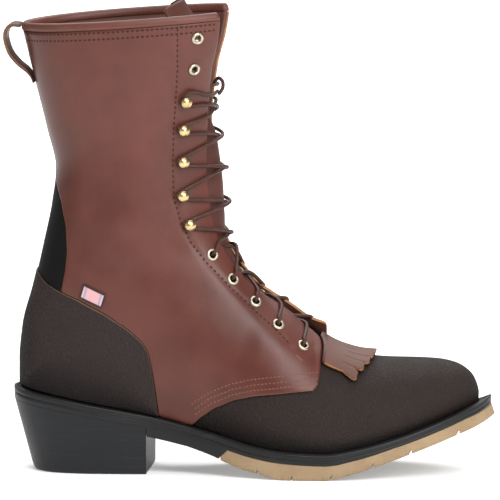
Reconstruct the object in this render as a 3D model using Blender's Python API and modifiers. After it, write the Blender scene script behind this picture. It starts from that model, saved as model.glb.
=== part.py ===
"""Packer boot for the right foot, an assembly of separate pieces.

Metres, +Z up, +X to the toe, -Y to the outer (lateral) side. The boot stands on the plane z = 0.
Sizes in the tables are millimetres and are scaled once, when a mesh is made.
"""
import math

import bmesh
import bpy
import numpy as np
from mathutils import Matrix, Vector

for leftover in list(bpy.data.objects):
    bpy.data.objects.remove(leftover, do_unlink=True)

MM = 0.001

# Thicknesses and clearances
WALL = 1.8
SEAT = 0.3
COUNTER_SEAT = 0.5
LAYER_GAP = 0.5
LOWER_EDGE = 0.4
OVERLAY_EDGE = 1.8
SEAM_GAP = 0.5
QUARTER_THICK = 1.6
COUNTER_THICK = 2.2
WELT_THICK = 3.0
TONGUE_THICK = 2.5
TONGUE_DROP = 3.6
KILTIE_THICK = 1.4
INSOLE_RISE = 0.1
INSOLE_GAP = 0.6
BINDING_RADIUS = 2.5
LOOP_THICK = 2.5
LOOP_WIDTH = 19.0
TAB_THICK = 0.8
TAB_GAP = 0.6

# Lace and fittings
LACE_RADIUS = 1.15
LACE_CLEAR = 0.8
LACE_EDGE_CLEAR = 1.6
LACE_MIDDLE_LIFT = 1.0
FITTING_GAP = 0.55
EYELET_OUTER = 4.0
EYELET_HOLE = 2.0
EYELET_HEIGHT = 1.0
HOOK_BASE = 2.6
HOOK_DOME = 3.75
HOOK_NECK = 1.3
HOOK_FOOT = 0.9
HOOK_HEIGHT = 6.4

# Sole outline seen from above: length position, outer edge, inner edge
SOLE_PLAN = np.array((
    (-150.0, -3.0, -3.0), (-146.0, -20.0, 14.0), (-138.0, -29.0, 23.0), (-125.0, -35.0, 29.0),
    (-105.0, -37.5, 31.5), (-80.0, -37.0, 31.0), (-60.0, -36.0, 29.0), (-40.0, -37.0, 28.0),
    (-20.0, -41.0, 30.0), (0.0, -47.0, 35.0), (20.0, -51.5, 41.5), (35.0, -53.0, 47.0),
    (50.0, -53.0, 51.0), (65.0, -51.5, 53.0), (80.0, -48.5, 52.5), (95.0, -44.0, 50.5),
    (110.0, -38.6, 47.0), (125.0, -31.0, 42.0), (138.0, -21.8, 35.2), (148.0, -10.8, 26.6),
    (153.0, -2.6, 18.6), (155.6, 8.0, 8.0)))

# How far the upper stands in from the sole's edge: length position, inset
FEATHER_INSET = np.array((
    (-150.0, 6.0), (-60.0, 6.3), (40.0, 6.5), (90.0, 7.5), (125.0, 9.0), (150.0, 10.6)))

# Inner edge of the welt, round the insole: length position, distance from the sole's edge
WELT_INSET = np.array(((-150.0, 9.8), (40.0, 10.3), (90.0, 11.2), (155.0, 11.4)))

# Top of the welt, which carries arch and toe spring: length position, height
WELT_TOP = np.array((
    (-150.0, 53.6), (-120.0, 48.3), (-95.0, 43.5), (-63.0, 37.8), (-32.0, 30.2), (-13.0, 25.0), (6.0, 20.0),
    (25.0, 17.2), (51.0, 16.0), (70.0, 18.9), (95.0, 25.4), (120.0, 34.1), (139.0, 41.6), (147.0, 44.9),
    (155.6, 50.6)))

# Midsole thickness: thin over heel and forefoot, thick in the shank: length position, thickness
MIDSOLE_THICK = np.array((
    (-150.0, 4.0), (-63.0, 4.0), (-62.4, 9.5), (-36.0, 8.9), (-21.0, 9.8), (-16.4, 10.4), (-10.6, 3.0),
    (60.0, 3.0), (95.0, 1.5), (139.0, 1.7), (156.0, 2.6)))
MIDSOLE_INSET = 0.7
OUTSOLE_INSET = 0.4
HEEL_INSET = 0.5

# How far welt and midsole stand back at the toe: length position, way in
TOE_SETBACK = np.array(((-150.0, 0.0), (115.0, 0.0), (142.0, 0.9), (155.6, 2.6)))

# Tread of the forefoot unit with its flat standing spot: length position, height
FLAT_SPOT = (25.0, 50.0)
TREAD = np.array((
    (-15.0, 11.0), (-4.0, 6.8), (4.0, 4.6), (15.0, 1.8), (FLAT_SPOT[0], 0.0), (FLAT_SPOT[1], 0.0),
    (56.0, 0.8), (82.0, 8.0), (105.0, 16.0), (120.0, 21.4), (134.0, 26.7), (146.0, 31.3), (152.0, 34.4),
    (155.6, 37.0)))
TREAD_REAR = -15.0
TREAD_REAR_LEAN = 5.5
TOE_LEAN = np.array(((130.0, 0.0), (150.0, 0.8), (155.6, 2.0)))
GROOVES = (9.0, 31.0, 56.0, 82.0, 105.0, 134.0)
GROOVE_WIDTH = 1.6
GROOVE_DEPTH = 2.2

HEEL_BREAST = -63.0
HEEL_BACK_TAPER = 0.144
HEEL_SIDE_TAPER = 0.09
HEEL_LEVELS = (0.0, 0.35, 0.7, 0.96, 1.0)
HEEL_BEVEL = 0.8

# Sections of the upper from toe to collar. Each is a straight cut in the side view, from the front
# (ridge of the vamp, or the middle of the throat) to the back (sole edge, or back seam).
# ridge, seam: sideways place of front and back. peak: where along the cut the side is widest.
# front, rear: how square the two arcs are. gap: half the throat.
COLUMNS = ("front_x", "front_z", "back_x", "back_z", "ridge", "seam", "peak", "front", "rear", "gap")
SECTIONS = np.array((
    (145.2, 50.5, 145.0, 44.0, 8.0, 8.0, 0.60, 2.0, 2.2, 0.0),
    (144.2, 54.5, 143.6, 43.3, 8.0, 8.0, 0.65, 2.0, 2.2, 0.0),
    (141.5, 60.5, 140.0, 42.0, 7.8, 7.8, 0.70, 2.0, 2.2, 0.0),
    (137.0, 65.2, 134.0, 39.3, 7.5, 7.0, 0.74, 2.0, 2.2, 0.0),
    (130.0, 69.0, 126.0, 35.5, 7.0, 6.0, 0.76, 2.0, 2.2, 0.0),
    (119.0, 71.4, 115.0, 30.5, 6.0, 5.0, 0.78, 2.0, 2.2, 0.0),
    (104.0, 72.2, 101.0, 25.2, 4.5, 4.0, 0.79, 2.0, 2.2, 0.0),
    (88.0, 72.5, 86.0, 21.2, 3.2, 3.0, 0.79, 2.0, 2.2, 0.0),
    (72.0, 74.0, 71.0, 18.4, 2.2, 1.0, 0.79, 2.0, 2.2, 0.0),
    (58.5, 77.5, 58.5, 16.3, 1.2, 0.0, 0.78, 2.0, 2.2, 0.0),
    (47.0, 83.0, 47.0, 16.0, 0.5, 0.0, 0.77, 2.0, 2.2, 0.0),
    (37.0, 91.0, 34.0, 16.6, 0.0, 0.0, 0.75, 2.0, 2.2, 7.0),
    (25.0, 102.5, 16.0, 18.4, 0.0, 0.0, 0.72, 2.0, 2.2, 10.0),
    (11.5, 114.0, -6.0, 23.2, 0.0, 0.0, 0.68, 2.0, 2.2, 12.5),
    (0.0, 126.0, -32.0, 30.2, 0.0, -1.0, 0.64, 2.0, 2.2, 14.5),
    (-7.0, 137.0, -60.0, 37.2, 0.0, -2.0, 0.60, 2.0, 2.2, 15.5),
    (-12.0, 148.0, -88.0, 42.3, 0.0, -3.0, 0.56, 2.0, 2.2, 16.0),
    (-15.0, 157.0, -110.0, 46.4, 0.0, -3.0, 0.53, 2.0, 2.2, 16.5),
    (-16.5, 164.0, -128.0, 49.7, 0.0, -3.0, 0.51, 2.0, 2.2, 16.5),
    (-17.5, 170.5, -137.0, 51.3, 0.0, -3.0, 0.50, 2.0, 2.2, 16.5),
    (-18.3, 176.5, -141.6, 52.1, 0.0, -3.0, 0.50, 2.0, 2.2, 16.5),
    (-19.0, 182.5, -144.0, 53.0, 0.0, -3.0, 0.50, 2.0, 2.2, 16.5),
    (-20.0, 191.0, -144.0, 70.0, 0.0, -3.0, 0.50, 2.0, 2.2, 16.5),
    (-21.0, 200.0, -142.0, 92.0, 0.0, -2.6, 0.50, 2.0, 2.2, 16.2),
    (-21.8, 209.5, -135.4, 117.0, 0.0, -2.0, 0.50, 2.0, 2.2, 15.8),
    (-22.2, 220.0, -129.7, 142.0, 0.0, -1.4, 0.50, 2.05, 2.2, 15.5),
    (-22.0, 232.0, -123.9, 170.0, 0.0, -0.8, 0.50, 2.1, 2.15, 16.2),
    (-20.0, 246.0, -121.4, 192.0, 0.0, -0.4, 0.50, 2.15, 2.1, 18.2),
    (-16.0, 262.0, -127.1, 218.0, 0.0, -0.2, 0.50, 2.2, 2.1, 22.0),
    (-8.5, 278.0, -135.2, 250.5, 0.0, 0.0, 0.50, 2.25, 2.1, 27.0),
    (-2.4, 290.2, -142.2, 279.6, 0.0, 0.0, 0.50, 2.3, 2.1, 31.5)))
ROWS = np.arange(len(SECTIONS), dtype=float)
COLLAR_ROW = ROWS[-1]

# Forefoot: section, how far the outer and inner side swell past the sole edge below them
SWELL = np.array((
    (0.0, 0.0, 0.0), (1.0, 0.3, 0.3), (2.0, 0.6, 0.6), (3.0, 0.9, 0.9), (4.0, 1.2, 1.2), (5.0, 1.4, 1.4),
    (9.0, 1.5, 1.5), (11.0, 1.8, 2.4), (12.0, 2.2, 3.5), (13.0, 3.0, 5.5), (15.0, 5.0, 9.0)))

# Rear foot and shaft: section, widest place of the outer and inner side
GIRTH = np.array((
    (12.0, -44.0, 36.0), (13.0, -41.0, 33.0), (14.0, -38.2, 32.6), (15.0, -36.8, 33.2), (16.0, -36.3, 34.0),
    (18.0, -36.4, 35.0), (21.0, -36.4, 35.6), (23.0, -36.1, 35.5), (25.0, -35.6, 35.4), (26.0, -35.9, 35.8),
    (27.0, -37.2, 37.2), (28.0, -40.4, 40.4), (29.0, -43.8, 43.8), (30.0, -46.0, 46.0)))
GIRTH_START = 12.5
GIRTH_FULL = 14.5

QUARTER_ROW = 10.0
HEEL_ROW = 21.0

# Lines of the overlays in the side view: length position, height
VAMP_SEAM = (
    (46.5, 55.9), (29.5, 54.9), (7.0, 52.4), (-5.9, 49.4), (-19.0, 43.9), (-28.7, 37.1), (-36.0, 30.0))
COUNTER_SEAM = (
    (-54.6, 36.0), (-56.4, 51.1), (-58.8, 67.2), (-61.3, 78.7), (-65.1, 85.1), (-73.4, 92.6),
    (-89.4, 103.2), (-105.7, 111.5), (-117.7, 116.3), (-126.0, 120.5), (-132.0, 126.5))
BACKSTAY_EDGE = (
    (-118.0, 108.0), (-113.9, 129.0), (-112.6, 142.0), (-113.5, 157.4), (-117.2, 172.9), (-122.5, 188.0))
BACKSTAY_HALF = 7.5

# Tongue: section, half width, lean to the back, lift, bulge between the quarters
TONGUE = np.array((
    (9.4, 12.0, 0.0, 0.0, 0.0), (11.0, 19.0, 0.0, 0.0, 0.0), (13.0, 22.0, 0.0, 0.0, 0.5),
    (16.0, 23.0, 0.0, 0.0, 2.5), (18.0, 23.2, 0.0, 0.0, 4.4), (22.0, 23.7, 0.0, 0.0, 5.6),
    (24.0, 24.0, 0.0, 0.0, 4.8), (26.0, 26.0, 3.0, 0.0, 1.0), (27.0, 28.0, 7.0, 0.5, 0.0),
    (28.0, 29.5, 13.0, 1.5, 0.0), (29.0, 30.0, 22.0, 4.0, 0.0), (30.0, 27.0, 37.0, 8.0, 0.0)))
BULGE_HALF = 15.5

# Kiltie: each half has five strips; reach of each strip's tip along the vamp, from the middle outwards
KILTIE_START = 48.2
KILTIE_ROOT = 56.0
KILTIE_HALF = 30.5
KILTIE_TIPS = (80.0, 79.2, 77.2, 72.5, 67.0)
KILTIE_SLOT = 0.7
KILTIE_FAN = 0.12
KILTIE_GAP = 0.6

# Laced points on the outer side: length position, height
EYELETS = (
    (35.2, 81.7), (19.4, 94.7), (4.6, 108.6), (-10.1, 123.0), (-22.9, 139.0), (-33.5, 258.7), (-30.7, 278.7))
HOOKS = ((-37.6, 158.5), (-42.0, 177.4), (-42.0, 199.1), (-41.7, 219.7), (-40.1, 238.2))

# Lace crossings: share of the way up at the near edge, over the middle and at the far edge of the throat
EYELET_SHARES = (0.1, 0.5, 0.9)
HOOK_SHARES = (0.5, 0.8, 0.92)
HOOK_DIP = 0.55
BAR_DROP = 0.25

# Pull loop in the side view, middle of the strap: length position, height
LOOP_LINE = (
    (-145.3, 283.4), (-150.8, 283.2), (-154.3, 279.6), (-155.0, 273.5), (-152.6, 265.5), (-147.8, 258.6),
    (-142.8, 253.0), (-139.0, 247.5), (-137.2, 240.5))

# Side tab corners in the side view, caught in the counter seam
TAB_CORNERS = np.array((((-104.6, 113.0), (-90.4, 106.4)), ((-101.9, 121.8), (-87.7, 115.2))))

# Colours and finish: red, green, blue, roughness, metallic
FINISH = {
    "smooth_leather": (0.105, 0.030, 0.020, 0.42, 0.0),
    "pebbled_leather": (0.022, 0.014, 0.012, 0.55, 0.0),
    "dark_leather": (0.012, 0.010, 0.010, 0.5, 0.0),
    "edge_leather": (0.14, 0.050, 0.030, 0.5, 0.0),
    "tan_rubber": (0.52, 0.33, 0.15, 0.75, 0.0),
    "black_rubber": (0.012, 0.012, 0.013, 0.5, 0.0),
    "lining": (0.30, 0.19, 0.11, 0.8, 0.0),
    "cord": (0.040, 0.017, 0.012, 0.7, 0.0),
    "brass": (0.42, 0.30, 0.12, 0.35, 1.0),
    "old_nickel": (0.48, 0.44, 0.36, 0.35, 1.0),
    "tab_cloth": (0.55, 0.36, 0.36, 0.9, 0.0)}


def smooth(table, at, column=1):
    """Shape-keeping cubic through one column of a table whose first column rises."""
    xs = table[:, 0]
    ys = table[:, column]
    at = np.clip(np.asarray(at, float), xs[0], xs[-1])
    step = np.diff(xs)
    slope = np.diff(ys) / step
    tangent = np.concatenate((slope[:1], np.zeros(len(slope) - 1), slope[-1:]))
    before = slope[:-1]
    after = slope[1:]
    rising = before * after > 0
    weight_a = 2 * step[1:] + step[:-1]
    weight_b = step[1:] + 2 * step[:-1]
    safe_before = np.where(rising, before, 1.0)
    safe_after = np.where(rising, after, 1.0)
    mean = (weight_a + weight_b) / (weight_a / safe_before + weight_b / safe_after)
    tangent[1:-1] = np.where(rising, mean, 0.0)
    i = np.clip(np.searchsorted(xs, at, side="right") - 1, 0, len(step) - 1)
    u = (at - xs[i]) / step[i]
    return (ys[i] * (1 + 2 * u) * (1 - u) ** 2 + step[i] * tangent[i] * u * (1 - u) ** 2
            + ys[i + 1] * u * u * (3 - 2 * u) - step[i] * tangent[i + 1] * u * u * (1 - u))


def straight(table, at):
    """Straight lines between the rows of a table."""
    return np.interp(at, table[:, 0], table[:, 1])


# Sole outline


def plan_loop(inset, count):
    """Outline of the sole seen from above, moved in by inset: outer edge then inner edge, heel to toe."""
    low = SOLE_PLAN[0, 0]
    high = SOLE_PLAN[-1, 0]
    turn = np.linspace(0.0, math.pi, count)
    place = (1 - np.cos(turn)) / 2
    rows = np.arccos(np.clip(1 - 2 * (SOLE_PLAN[:, 0] - low) / (high - low), -1, 1))
    x = low + place * (high - low)
    edges = []
    for column, side in ((1, -1.0), (2, 1.0)):
        y = smooth(np.column_stack((rows, SOLE_PLAN[:, column])), turn)
        run = np.column_stack((np.gradient(x), np.gradient(y)))
        run[0] = (0.0, side)
        run[-1] = (0.0, -side)
        run /= np.linalg.norm(run, axis=1)[:, None]
        amount = inset(x) if callable(inset) else inset
        edges.append((x + side * run[:, 1] * amount, y - side * run[:, 0] * amount))
    return edges


def edge_at(edges, x):
    """Outer and inner edge of an outline at length positions x."""
    return [np.interp(x, edge_x, edge_y) for edge_x, edge_y in edges]


def feather_inset(x):
    """Distance of the upper's lower edge from the sole's edge."""
    return smooth(FEATHER_INSET, x)


FEATHER = plan_loop(feather_inset, 801)


def welt_top(x):
    return smooth(WELT_TOP, x)


def midsole_top(x):
    return welt_top(x) - WELT_THICK - LAYER_GAP


def midsole_bottom(x):
    return midsole_top(x) - straight(MIDSOLE_THICK, x)


# The upper's own surface


def section(s):
    """Values of the section table at s, a section number that may fall between rows."""
    s = np.asarray(s, float)
    values = {}
    for index, name in enumerate(COLUMNS):
        values[name] = smooth(np.column_stack((ROWS, SECTIONS[:, index])), s)
    outer, inner = edge_at(FEATHER, values["back_x"])
    on_sole = s < HEEL_ROW
    values["back_z"] = np.where(on_sole, welt_top(values["back_x"]) + LOWER_EDGE, values["back_z"])
    values["end_out"] = np.where(on_sole, outer, values["seam"])
    values["end_in"] = np.where(on_sole, inner, values["seam"])
    return values


def arcs(s, side):
    """Widths and arc limits of a section on one side."""
    c = section(s)
    end = c["end_out"] if side < 0 else c["end_in"]
    column = 1 if side < 0 else 2
    middle = (c["end_out"] + c["end_in"]) / 2
    share = np.clip((np.asarray(s, float) - GIRTH_START) / (GIRTH_FULL - GIRTH_START), 0, 1)
    share = share * share * (3 - 2 * share)
    widest = (1 - share) * (end + side * smooth(SWELL, s, column)) + share * smooth(GIRTH, s, column)
    c["half_front"] = np.maximum(side * (widest - c["ridge"]), 1e-4)
    c["half_rear"] = np.maximum(side * (widest - middle), 1e-4)
    c["middle"] = middle
    kept = np.clip(side * (end - middle) / c["half_rear"], 0.0, 0.9999)
    c["first"] = np.arcsin(np.clip(c["gap"] / c["half_front"], 0.0, 0.99) ** (c["front"] / 2))
    c["last"] = np.arccos(kept ** (c["rear"] / 2))
    return c


def surface(s, t, side):
    """Point of the upper's outer face and its place along the cut. t: 0 throat, 0.5 widest, 1 lower end."""
    t = np.asarray(t, float)
    c = arcs(s, side)
    ahead = c["first"] + (math.pi / 2 - c["first"]) * np.clip(2 * t, 0, 1)
    behind = c["last"] * np.clip(2 * t - 1, 0, 1)
    cos_ahead = np.clip(np.cos(ahead), 0, 1)
    q_front = c["peak"] * (1 - cos_ahead ** (2 / c["front"]))
    y_front = c["ridge"] + side * c["half_front"] * np.sin(ahead) ** (2 / c["front"])
    q_rear = c["peak"] + (1 - c["peak"]) * (np.sin(behind) / np.sin(c["last"])) ** (2 / c["rear"])
    y_rear = c["middle"] + side * c["half_rear"] * np.clip(np.cos(behind), 0, 1) ** (2 / c["rear"])
    is_front = t <= 0.5
    q = np.where(is_front, q_front, q_rear)
    y = np.where(is_front, y_front, y_rear)
    x = c["front_x"] + q * (c["back_x"] - c["front_x"])
    z = c["front_z"] + q * (c["back_z"] - c["front_z"])
    return np.stack(np.broadcast_arrays(x, y, z), axis=-1), q


def unit(vectors):
    return vectors / np.maximum(np.linalg.norm(vectors, axis=-1, keepdims=True), 1e-9)


def outward(s, t, side):
    """Outward direction of the upper's face."""
    s = np.asarray(s, float)
    t = np.asarray(t, float)
    small = 0.004
    ahead = np.minimum(s + small, COLLAR_ROW)
    along = surface(ahead, t, side)[0] - surface(np.maximum(s - small, 0), t, side)[0]
    around = surface(s, np.minimum(t + small, 1), side)[0] - surface(s, np.maximum(t - small, 0), side)[0]
    return unit(np.cross(along, around) * -side)


def find(x, z, side):
    """Section number and t of the point of one side that shows at (x, z) in the side view."""
    rows = np.linspace(0, COLLAR_ROW, 3001)
    c = arcs(rows, side)
    run_x = c["back_x"] - c["front_x"]
    run_z = c["back_z"] - c["front_z"]
    miss = (x - c["front_x"]) * run_z - (z - c["front_z"]) * run_x
    q = ((x - c["front_x"]) * run_x + (z - c["front_z"]) * run_z) / (run_x ** 2 + run_z ** 2)
    crossing = np.flatnonzero((np.sign(miss[:-1]) != np.sign(miss[1:])) & (q[:-1] > -0.1) & (q[:-1] < 1.1))
    i = crossing[0] if len(crossing) else int(np.argmin(np.abs(miss)))
    places = np.linspace(0, 1, 2001)
    along = surface(rows[i], places, side)[1]
    return rows[i], float(np.interp(q[i], along, places)), float(q[i])


def front_point(s, w, lift):
    """Point over the throat at section s, sideways place w, lifted off the upper's own curve."""
    def at(row, place):
        side = -1 if place < 0 else 1
        c = arcs(row, side)
        share = np.clip(abs(place - c["ridge"]) / c["half_front"], 0, 1)
        q = c["peak"] * (1 - (1 - share ** c["front"]) ** (1 / c["front"]))
        return np.array((c["front_x"] + q * (c["back_x"] - c["front_x"]), place,
                         c["front_z"] + q * (c["back_z"] - c["front_z"])))
    small = 0.02
    along = at(min(s + small, COLLAR_ROW), w) - at(s - small, w)
    around = at(s, w + small * 20) - at(s, w - small * 20)
    return at(s, w) + lift * unit(np.cross(around, along))


def beside(line, x, z):
    """Distance from a line drawn in the side view: positive on its left, its ends carried on straight."""
    best = np.full(np.shape(x), 1e9)
    signed = np.zeros(np.shape(x))
    last = len(line) - 2
    for k, (start, end) in enumerate(zip(line, line[1:])):
        run = np.subtract(end, start)
        length = math.hypot(*run)
        along = ((x - start[0]) * run[0] + (z - start[1]) * run[1]) / length ** 2
        along = np.clip(along, -1e3 if k == 0 else 0.0, 1e3 if k == last else 1.0)
        gap_x = x - start[0] - along * run[0]
        gap_z = z - start[1] - along * run[1]
        away = np.hypot(gap_x, gap_z)
        side = np.sign(run[0] * (z - start[1]) - run[1] * (x - start[0]))
        signed = np.where(away < best, side * away, signed)
        best = np.minimum(away, best)
    return signed


# Objects


def new_collection(name):
    made = bpy.data.collections.new(name)
    bpy.context.scene.collection.children.link(made)
    return made


PARTS = new_collection("packer_boot")
CUTTERS = new_collection("cutters")
ROOT = bpy.data.objects.new("packer_boot_root", None)
PARTS.objects.link(ROOT)


def material(name):
    found = bpy.data.materials.get(name)
    if found:
        return found
    made = bpy.data.materials.new(name)
    made.use_nodes = True
    shader = made.node_tree.nodes["Principled BSDF"]
    red, green, blue, roughness, metallic = FINISH[name]
    shader.inputs["Base Color"].default_value = (red, green, blue, 1.0)
    shader.inputs["Roughness"].default_value = roughness
    shader.inputs["Metallic"].default_value = metallic
    return made


def add_object(name, data, finish):
    """Put mesh or curve data in the boot as a named piece."""
    made = bpy.data.objects.new(name, data)
    PARTS.objects.link(made)
    made.parent = ROOT
    data.materials.append(material(finish))
    return made


def add_mesh(name, bm, finish, merge=0.00001):
    """Weld a bmesh, turn its faces outwards and put it in the boot."""
    bmesh.ops.remove_doubles(bm, verts=bm.verts, dist=merge)
    bmesh.ops.dissolve_degenerate(bm, edges=bm.edges, dist=0.000001)
    bmesh.ops.recalc_face_normals(bm, faces=bm.faces)
    data = bpy.data.meshes.new(name)
    bm.to_mesh(data)
    bm.free()
    return add_object(name, data, finish)


def loft(name, rings, finish, closed=False):
    """Closed solid through rings of points; the two ends are capped unless the rings close on themselves."""
    bm = bmesh.new()
    made = [[bm.verts.new(Vector(point) * MM) for point in ring] for ring in rings]
    count = len(made[0])
    pairs = list(zip(made, made[1:]))
    if closed:
        pairs.append((made[-1], made[0]))
    for ring_a, ring_b in pairs:
        for k in range(count):
            n = (k + 1) % count
            bm.faces.new((ring_a[k], ring_a[n], ring_b[n], ring_b[k]))
    if not closed:
        bm.faces.new(made[0])
        bm.faces.new(made[-1])
    return add_mesh(name, bm, finish)


def thicken(piece, thickness, outwards):
    """Give an open sheet its thickness, on its outer or its inner side."""
    solid = piece.modifiers.new("thickness", "SOLIDIFY")
    solid.thickness = thickness * MM
    solid.offset = 1.0 if outwards else -1.0
    solid.use_rim = True


# Sole pieces


def ends_and(edges, count):
    """Length positions from end to end of an outline, closer at the ends."""
    low = edges[0][0].min()
    high = edges[0][0].max()
    return low + (high - low) * (1 - np.cos(np.linspace(0, math.pi, count))) / 2


def plate(name, inset, x_places, top, bottom, finish, lean=None):
    """Layer of the sole between two heights, with the outline moved in by inset."""
    edges = plan_loop(inset, 401)
    rings = []
    for x in x_places(edges):
        outer, inner = edge_at(edges, x)
        x_top = x + (lean(x) if lean else 0.0)
        outer_top, inner_top = edge_at(edges, x_top)
        rings.append(((x_top, outer_top, top(x_top)), (x_top, inner_top, top(x_top)),
                      (x, inner, bottom(x)), (x, outer, bottom(x))))
    return loft(name, rings, finish)


def toe_setback(x):
    return smooth(TOE_SETBACK, x)


def make_welt():
    outer = plan_loop(toe_setback, 31)
    inner = plan_loop(lambda x: smooth(WELT_INSET, x), 31)
    rings = []
    for (outer_x, outer_y), (inner_x, inner_y), order in zip(outer, inner, (1, -1)):
        for ox, oy, ix, iy in list(zip(outer_x, outer_y, inner_x, inner_y))[::order][:-1]:
            rings.append(((ox, oy, welt_top(ox)), (ix, iy, welt_top(ix)),
                          (ix, iy, welt_top(ix) - WELT_THICK), (ox, oy, welt_top(ox) - WELT_THICK)))
    return loft("welt", rings, "black_rubber", closed=True)


def make_midsole():
    def places(edges):
        steps = MIDSOLE_THICK[1:-1, 0]
        return np.unique(np.concatenate((ends_and(edges, 36), steps)))
    return plate("midsole", lambda x: MIDSOLE_INSET + toe_setback(x), places, midsole_top, midsole_bottom,
                 "black_rubber")


def tread(x):
    """Height of the forefoot tread with its cross grooves."""
    height = smooth(TREAD, x)
    for groove in GROOVES:
        if abs(x - groove) < GROOVE_WIDTH / 2:
            height = height + GROOVE_DEPTH
    return height


def make_outsole():
    wall = 0.05

    def places(edges):
        plain = [x for x in ends_and(edges, 40) if x > TREAD_REAR + 4]
        cuts = []
        for groove in GROOVES:
            for side in (-1, 1):
                cuts += [groove + side * (GROOVE_WIDTH / 2 + wall), groove + side * (GROOVE_WIDTH / 2 - wall)]
        clear = [x for x in plain if min(abs(x - cut) for cut in cuts) > 1.0]
        return np.array(sorted([TREAD_REAR, TREAD_REAR + 6.0, *FLAT_SPOT] + clear + cuts))

    def lean(x):
        return TREAD_REAR_LEAN * np.clip(1 - (x - TREAD_REAR) / 10.0, 0, 1) - straight(TOE_LEAN, x)

    def top(x):
        return midsole_bottom(x) - SEAT

    return plate("outsole", OUTSOLE_INSET, places, top, tread, "tan_rubber", lean)


def make_heel():
    edges = plan_loop(HEEL_INSET, 401)
    back = edges[0][0].min()
    rings = []
    for share in 1 - np.cos(np.linspace(0, math.pi / 2, 13)):
        x = back + (HEEL_BREAST - back) * share
        outer, inner = edge_at(edges, x)
        middle = (outer + inner) / 2
        ring = []
        for sign, y in ((1, outer), (-1, inner)):
            column = []
            for level in HEEL_LEVELS:
                bevel = HEEL_BEVEL / abs(back - HEEL_BREAST) if level == 1.0 else 0.0
                along = HEEL_BREAST + (x - HEEL_BREAST) * (1 - HEEL_BACK_TAPER * level - bevel)
                across = middle + (y - middle) * (1 - HEEL_SIDE_TAPER * level - bevel)
                column.append((along, across, (midsole_bottom(min(x, HEEL_BREAST)) - SEAT) * (1 - level)))
            ring += column[::sign]
        rings.append(ring)
    return loft("heel", rings, "black_rubber")


def make_insole():
    def inset(x):
        return smooth(WELT_INSET, x) + INSOLE_GAP
    return plate("insole", inset, lambda edges: ends_and(edges, 26), lambda x: welt_top(x) + INSOLE_RISE,
                 lambda x: midsole_top(x) + SEAT, "lining")


# Upper and overlays


def grid_places():
    """Sections and t values of the upper's mesh: closer where the form turns quickly."""
    between = np.array((0.5, 9.5, 10.5, 11.5))
    s_places = np.sort(np.concatenate((ROWS, between)))
    t_places = np.linspace(0, 1, 9)
    return np.meshgrid(s_places, t_places, indexing="ij")


def base_mesh(side):
    """One side of the upper as rows of (s, t, point, outward) and triangles that face outwards."""
    s, t = grid_places()
    points = surface(s, t, side)[0]
    away = outward(s, t, side)
    rows = np.concatenate((s[..., None], t[..., None], points, away), axis=-1).reshape(-1, 8)
    high, wide = s.shape
    triangles = []
    for i in range(high - 1):
        for j in range(wide - 1):
            a = i * wide + j
            b, c, d = a + wide, a + wide + 1, a + 1
            across = np.linalg.norm(rows[a, 2:5] - rows[c, 2:5])
            other = np.linalg.norm(rows[b, 2:5] - rows[d, 2:5])
            halves = ((a, b, c), (a, c, d)) if across < other else ((a, b, d), (b, c, d))
            triangles += [half if side < 0 else half[::-1] for half in halves]
    return rows, triangles


def clip(rows, triangles, keep):
    """Cut a triangle mesh along keep(rows) = 0 and leave the part where keep is positive."""
    value = keep(rows)
    rows = list(rows)
    made = {}

    def crossing(a, b):
        key = (min(a, b), max(a, b))
        if key not in made:
            inside, outside = (a, b) if value[a] >= 0 else (b, a)
            low = 0.0
            high = 1.0
            for _ in range(24):
                middle = (low + high) / 2
                between = rows[inside] + middle * (rows[outside] - rows[inside])
                if keep(between[None])[0] >= 0:
                    low = middle
                else:
                    high = middle
            rows.append(rows[inside] + low * (rows[outside] - rows[inside]))
            made[key] = len(rows) - 1
        return made[key]

    kept = []
    for triangle in triangles:
        ring = []
        for k in range(3):
            a = triangle[k]
            b = triangle[(k + 1) % 3]
            if value[a] >= 0:
                ring.append(a)
            if (value[a] >= 0) != (value[b] >= 0):
                ring.append(crossing(a, b))
        for k in range(1, len(ring) - 1):
            kept.append((ring[0], ring[k], ring[k + 1]))
    return np.array(rows), kept


def add_sheet(name, meshes, lift, finish, merge):
    """Put triangle meshes, lifted off the upper, in the boot as one welded open sheet."""
    bm = bmesh.new()
    for rows, triangles in meshes:
        used = {}
        for triangle in triangles:
            for index in triangle:
                if index not in used:
                    used[index] = bm.verts.new(Vector(rows[index, 2:5] + lift * rows[index, 5:8]) * MM)
            bm.faces.new([used[index] for index in triangle])
    bmesh.ops.remove_doubles(bm, verts=bm.verts, dist=merge * MM)
    bmesh.ops.dissolve_degenerate(bm, edges=bm.edges, dist=0.00002)
    data = bpy.data.meshes.new(name)
    bm.to_mesh(data)
    bm.free()
    return add_object(name, data, finish)


def above_welt(rows):
    """Positive where an overlay stays clear of the welt."""
    return rows[:, 4] - welt_top(rows[:, 2]) - OVERLAY_EDGE


def over_vamp(rows):
    """Positive above the seam where the quarter lies on the vamp."""
    return -beside(VAMP_SEAM, rows[:, 2], rows[:, 4])


def off_counter(rows):
    """Positive in front of and above the counter."""
    return -beside(COUNTER_SEAM, rows[:, 2], rows[:, 4])


def on_backstay(rows):
    """Positive on the backstay: wide over the heel and a narrow strip up the shaft."""
    wide = beside(BACKSTAY_EDGE, rows[:, 2], rows[:, 4])
    strip = BACKSTAY_HALF - np.abs(rows[:, 3] - section(rows[:, 0])["seam"])
    return np.maximum(wide, strip)


def make_upper():
    made = add_sheet("upper", [base_mesh(-1), base_mesh(1)], 0.0, "pebbled_leather", 0.01)
    thicken(made, WALL, outwards=False)
    return made


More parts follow.
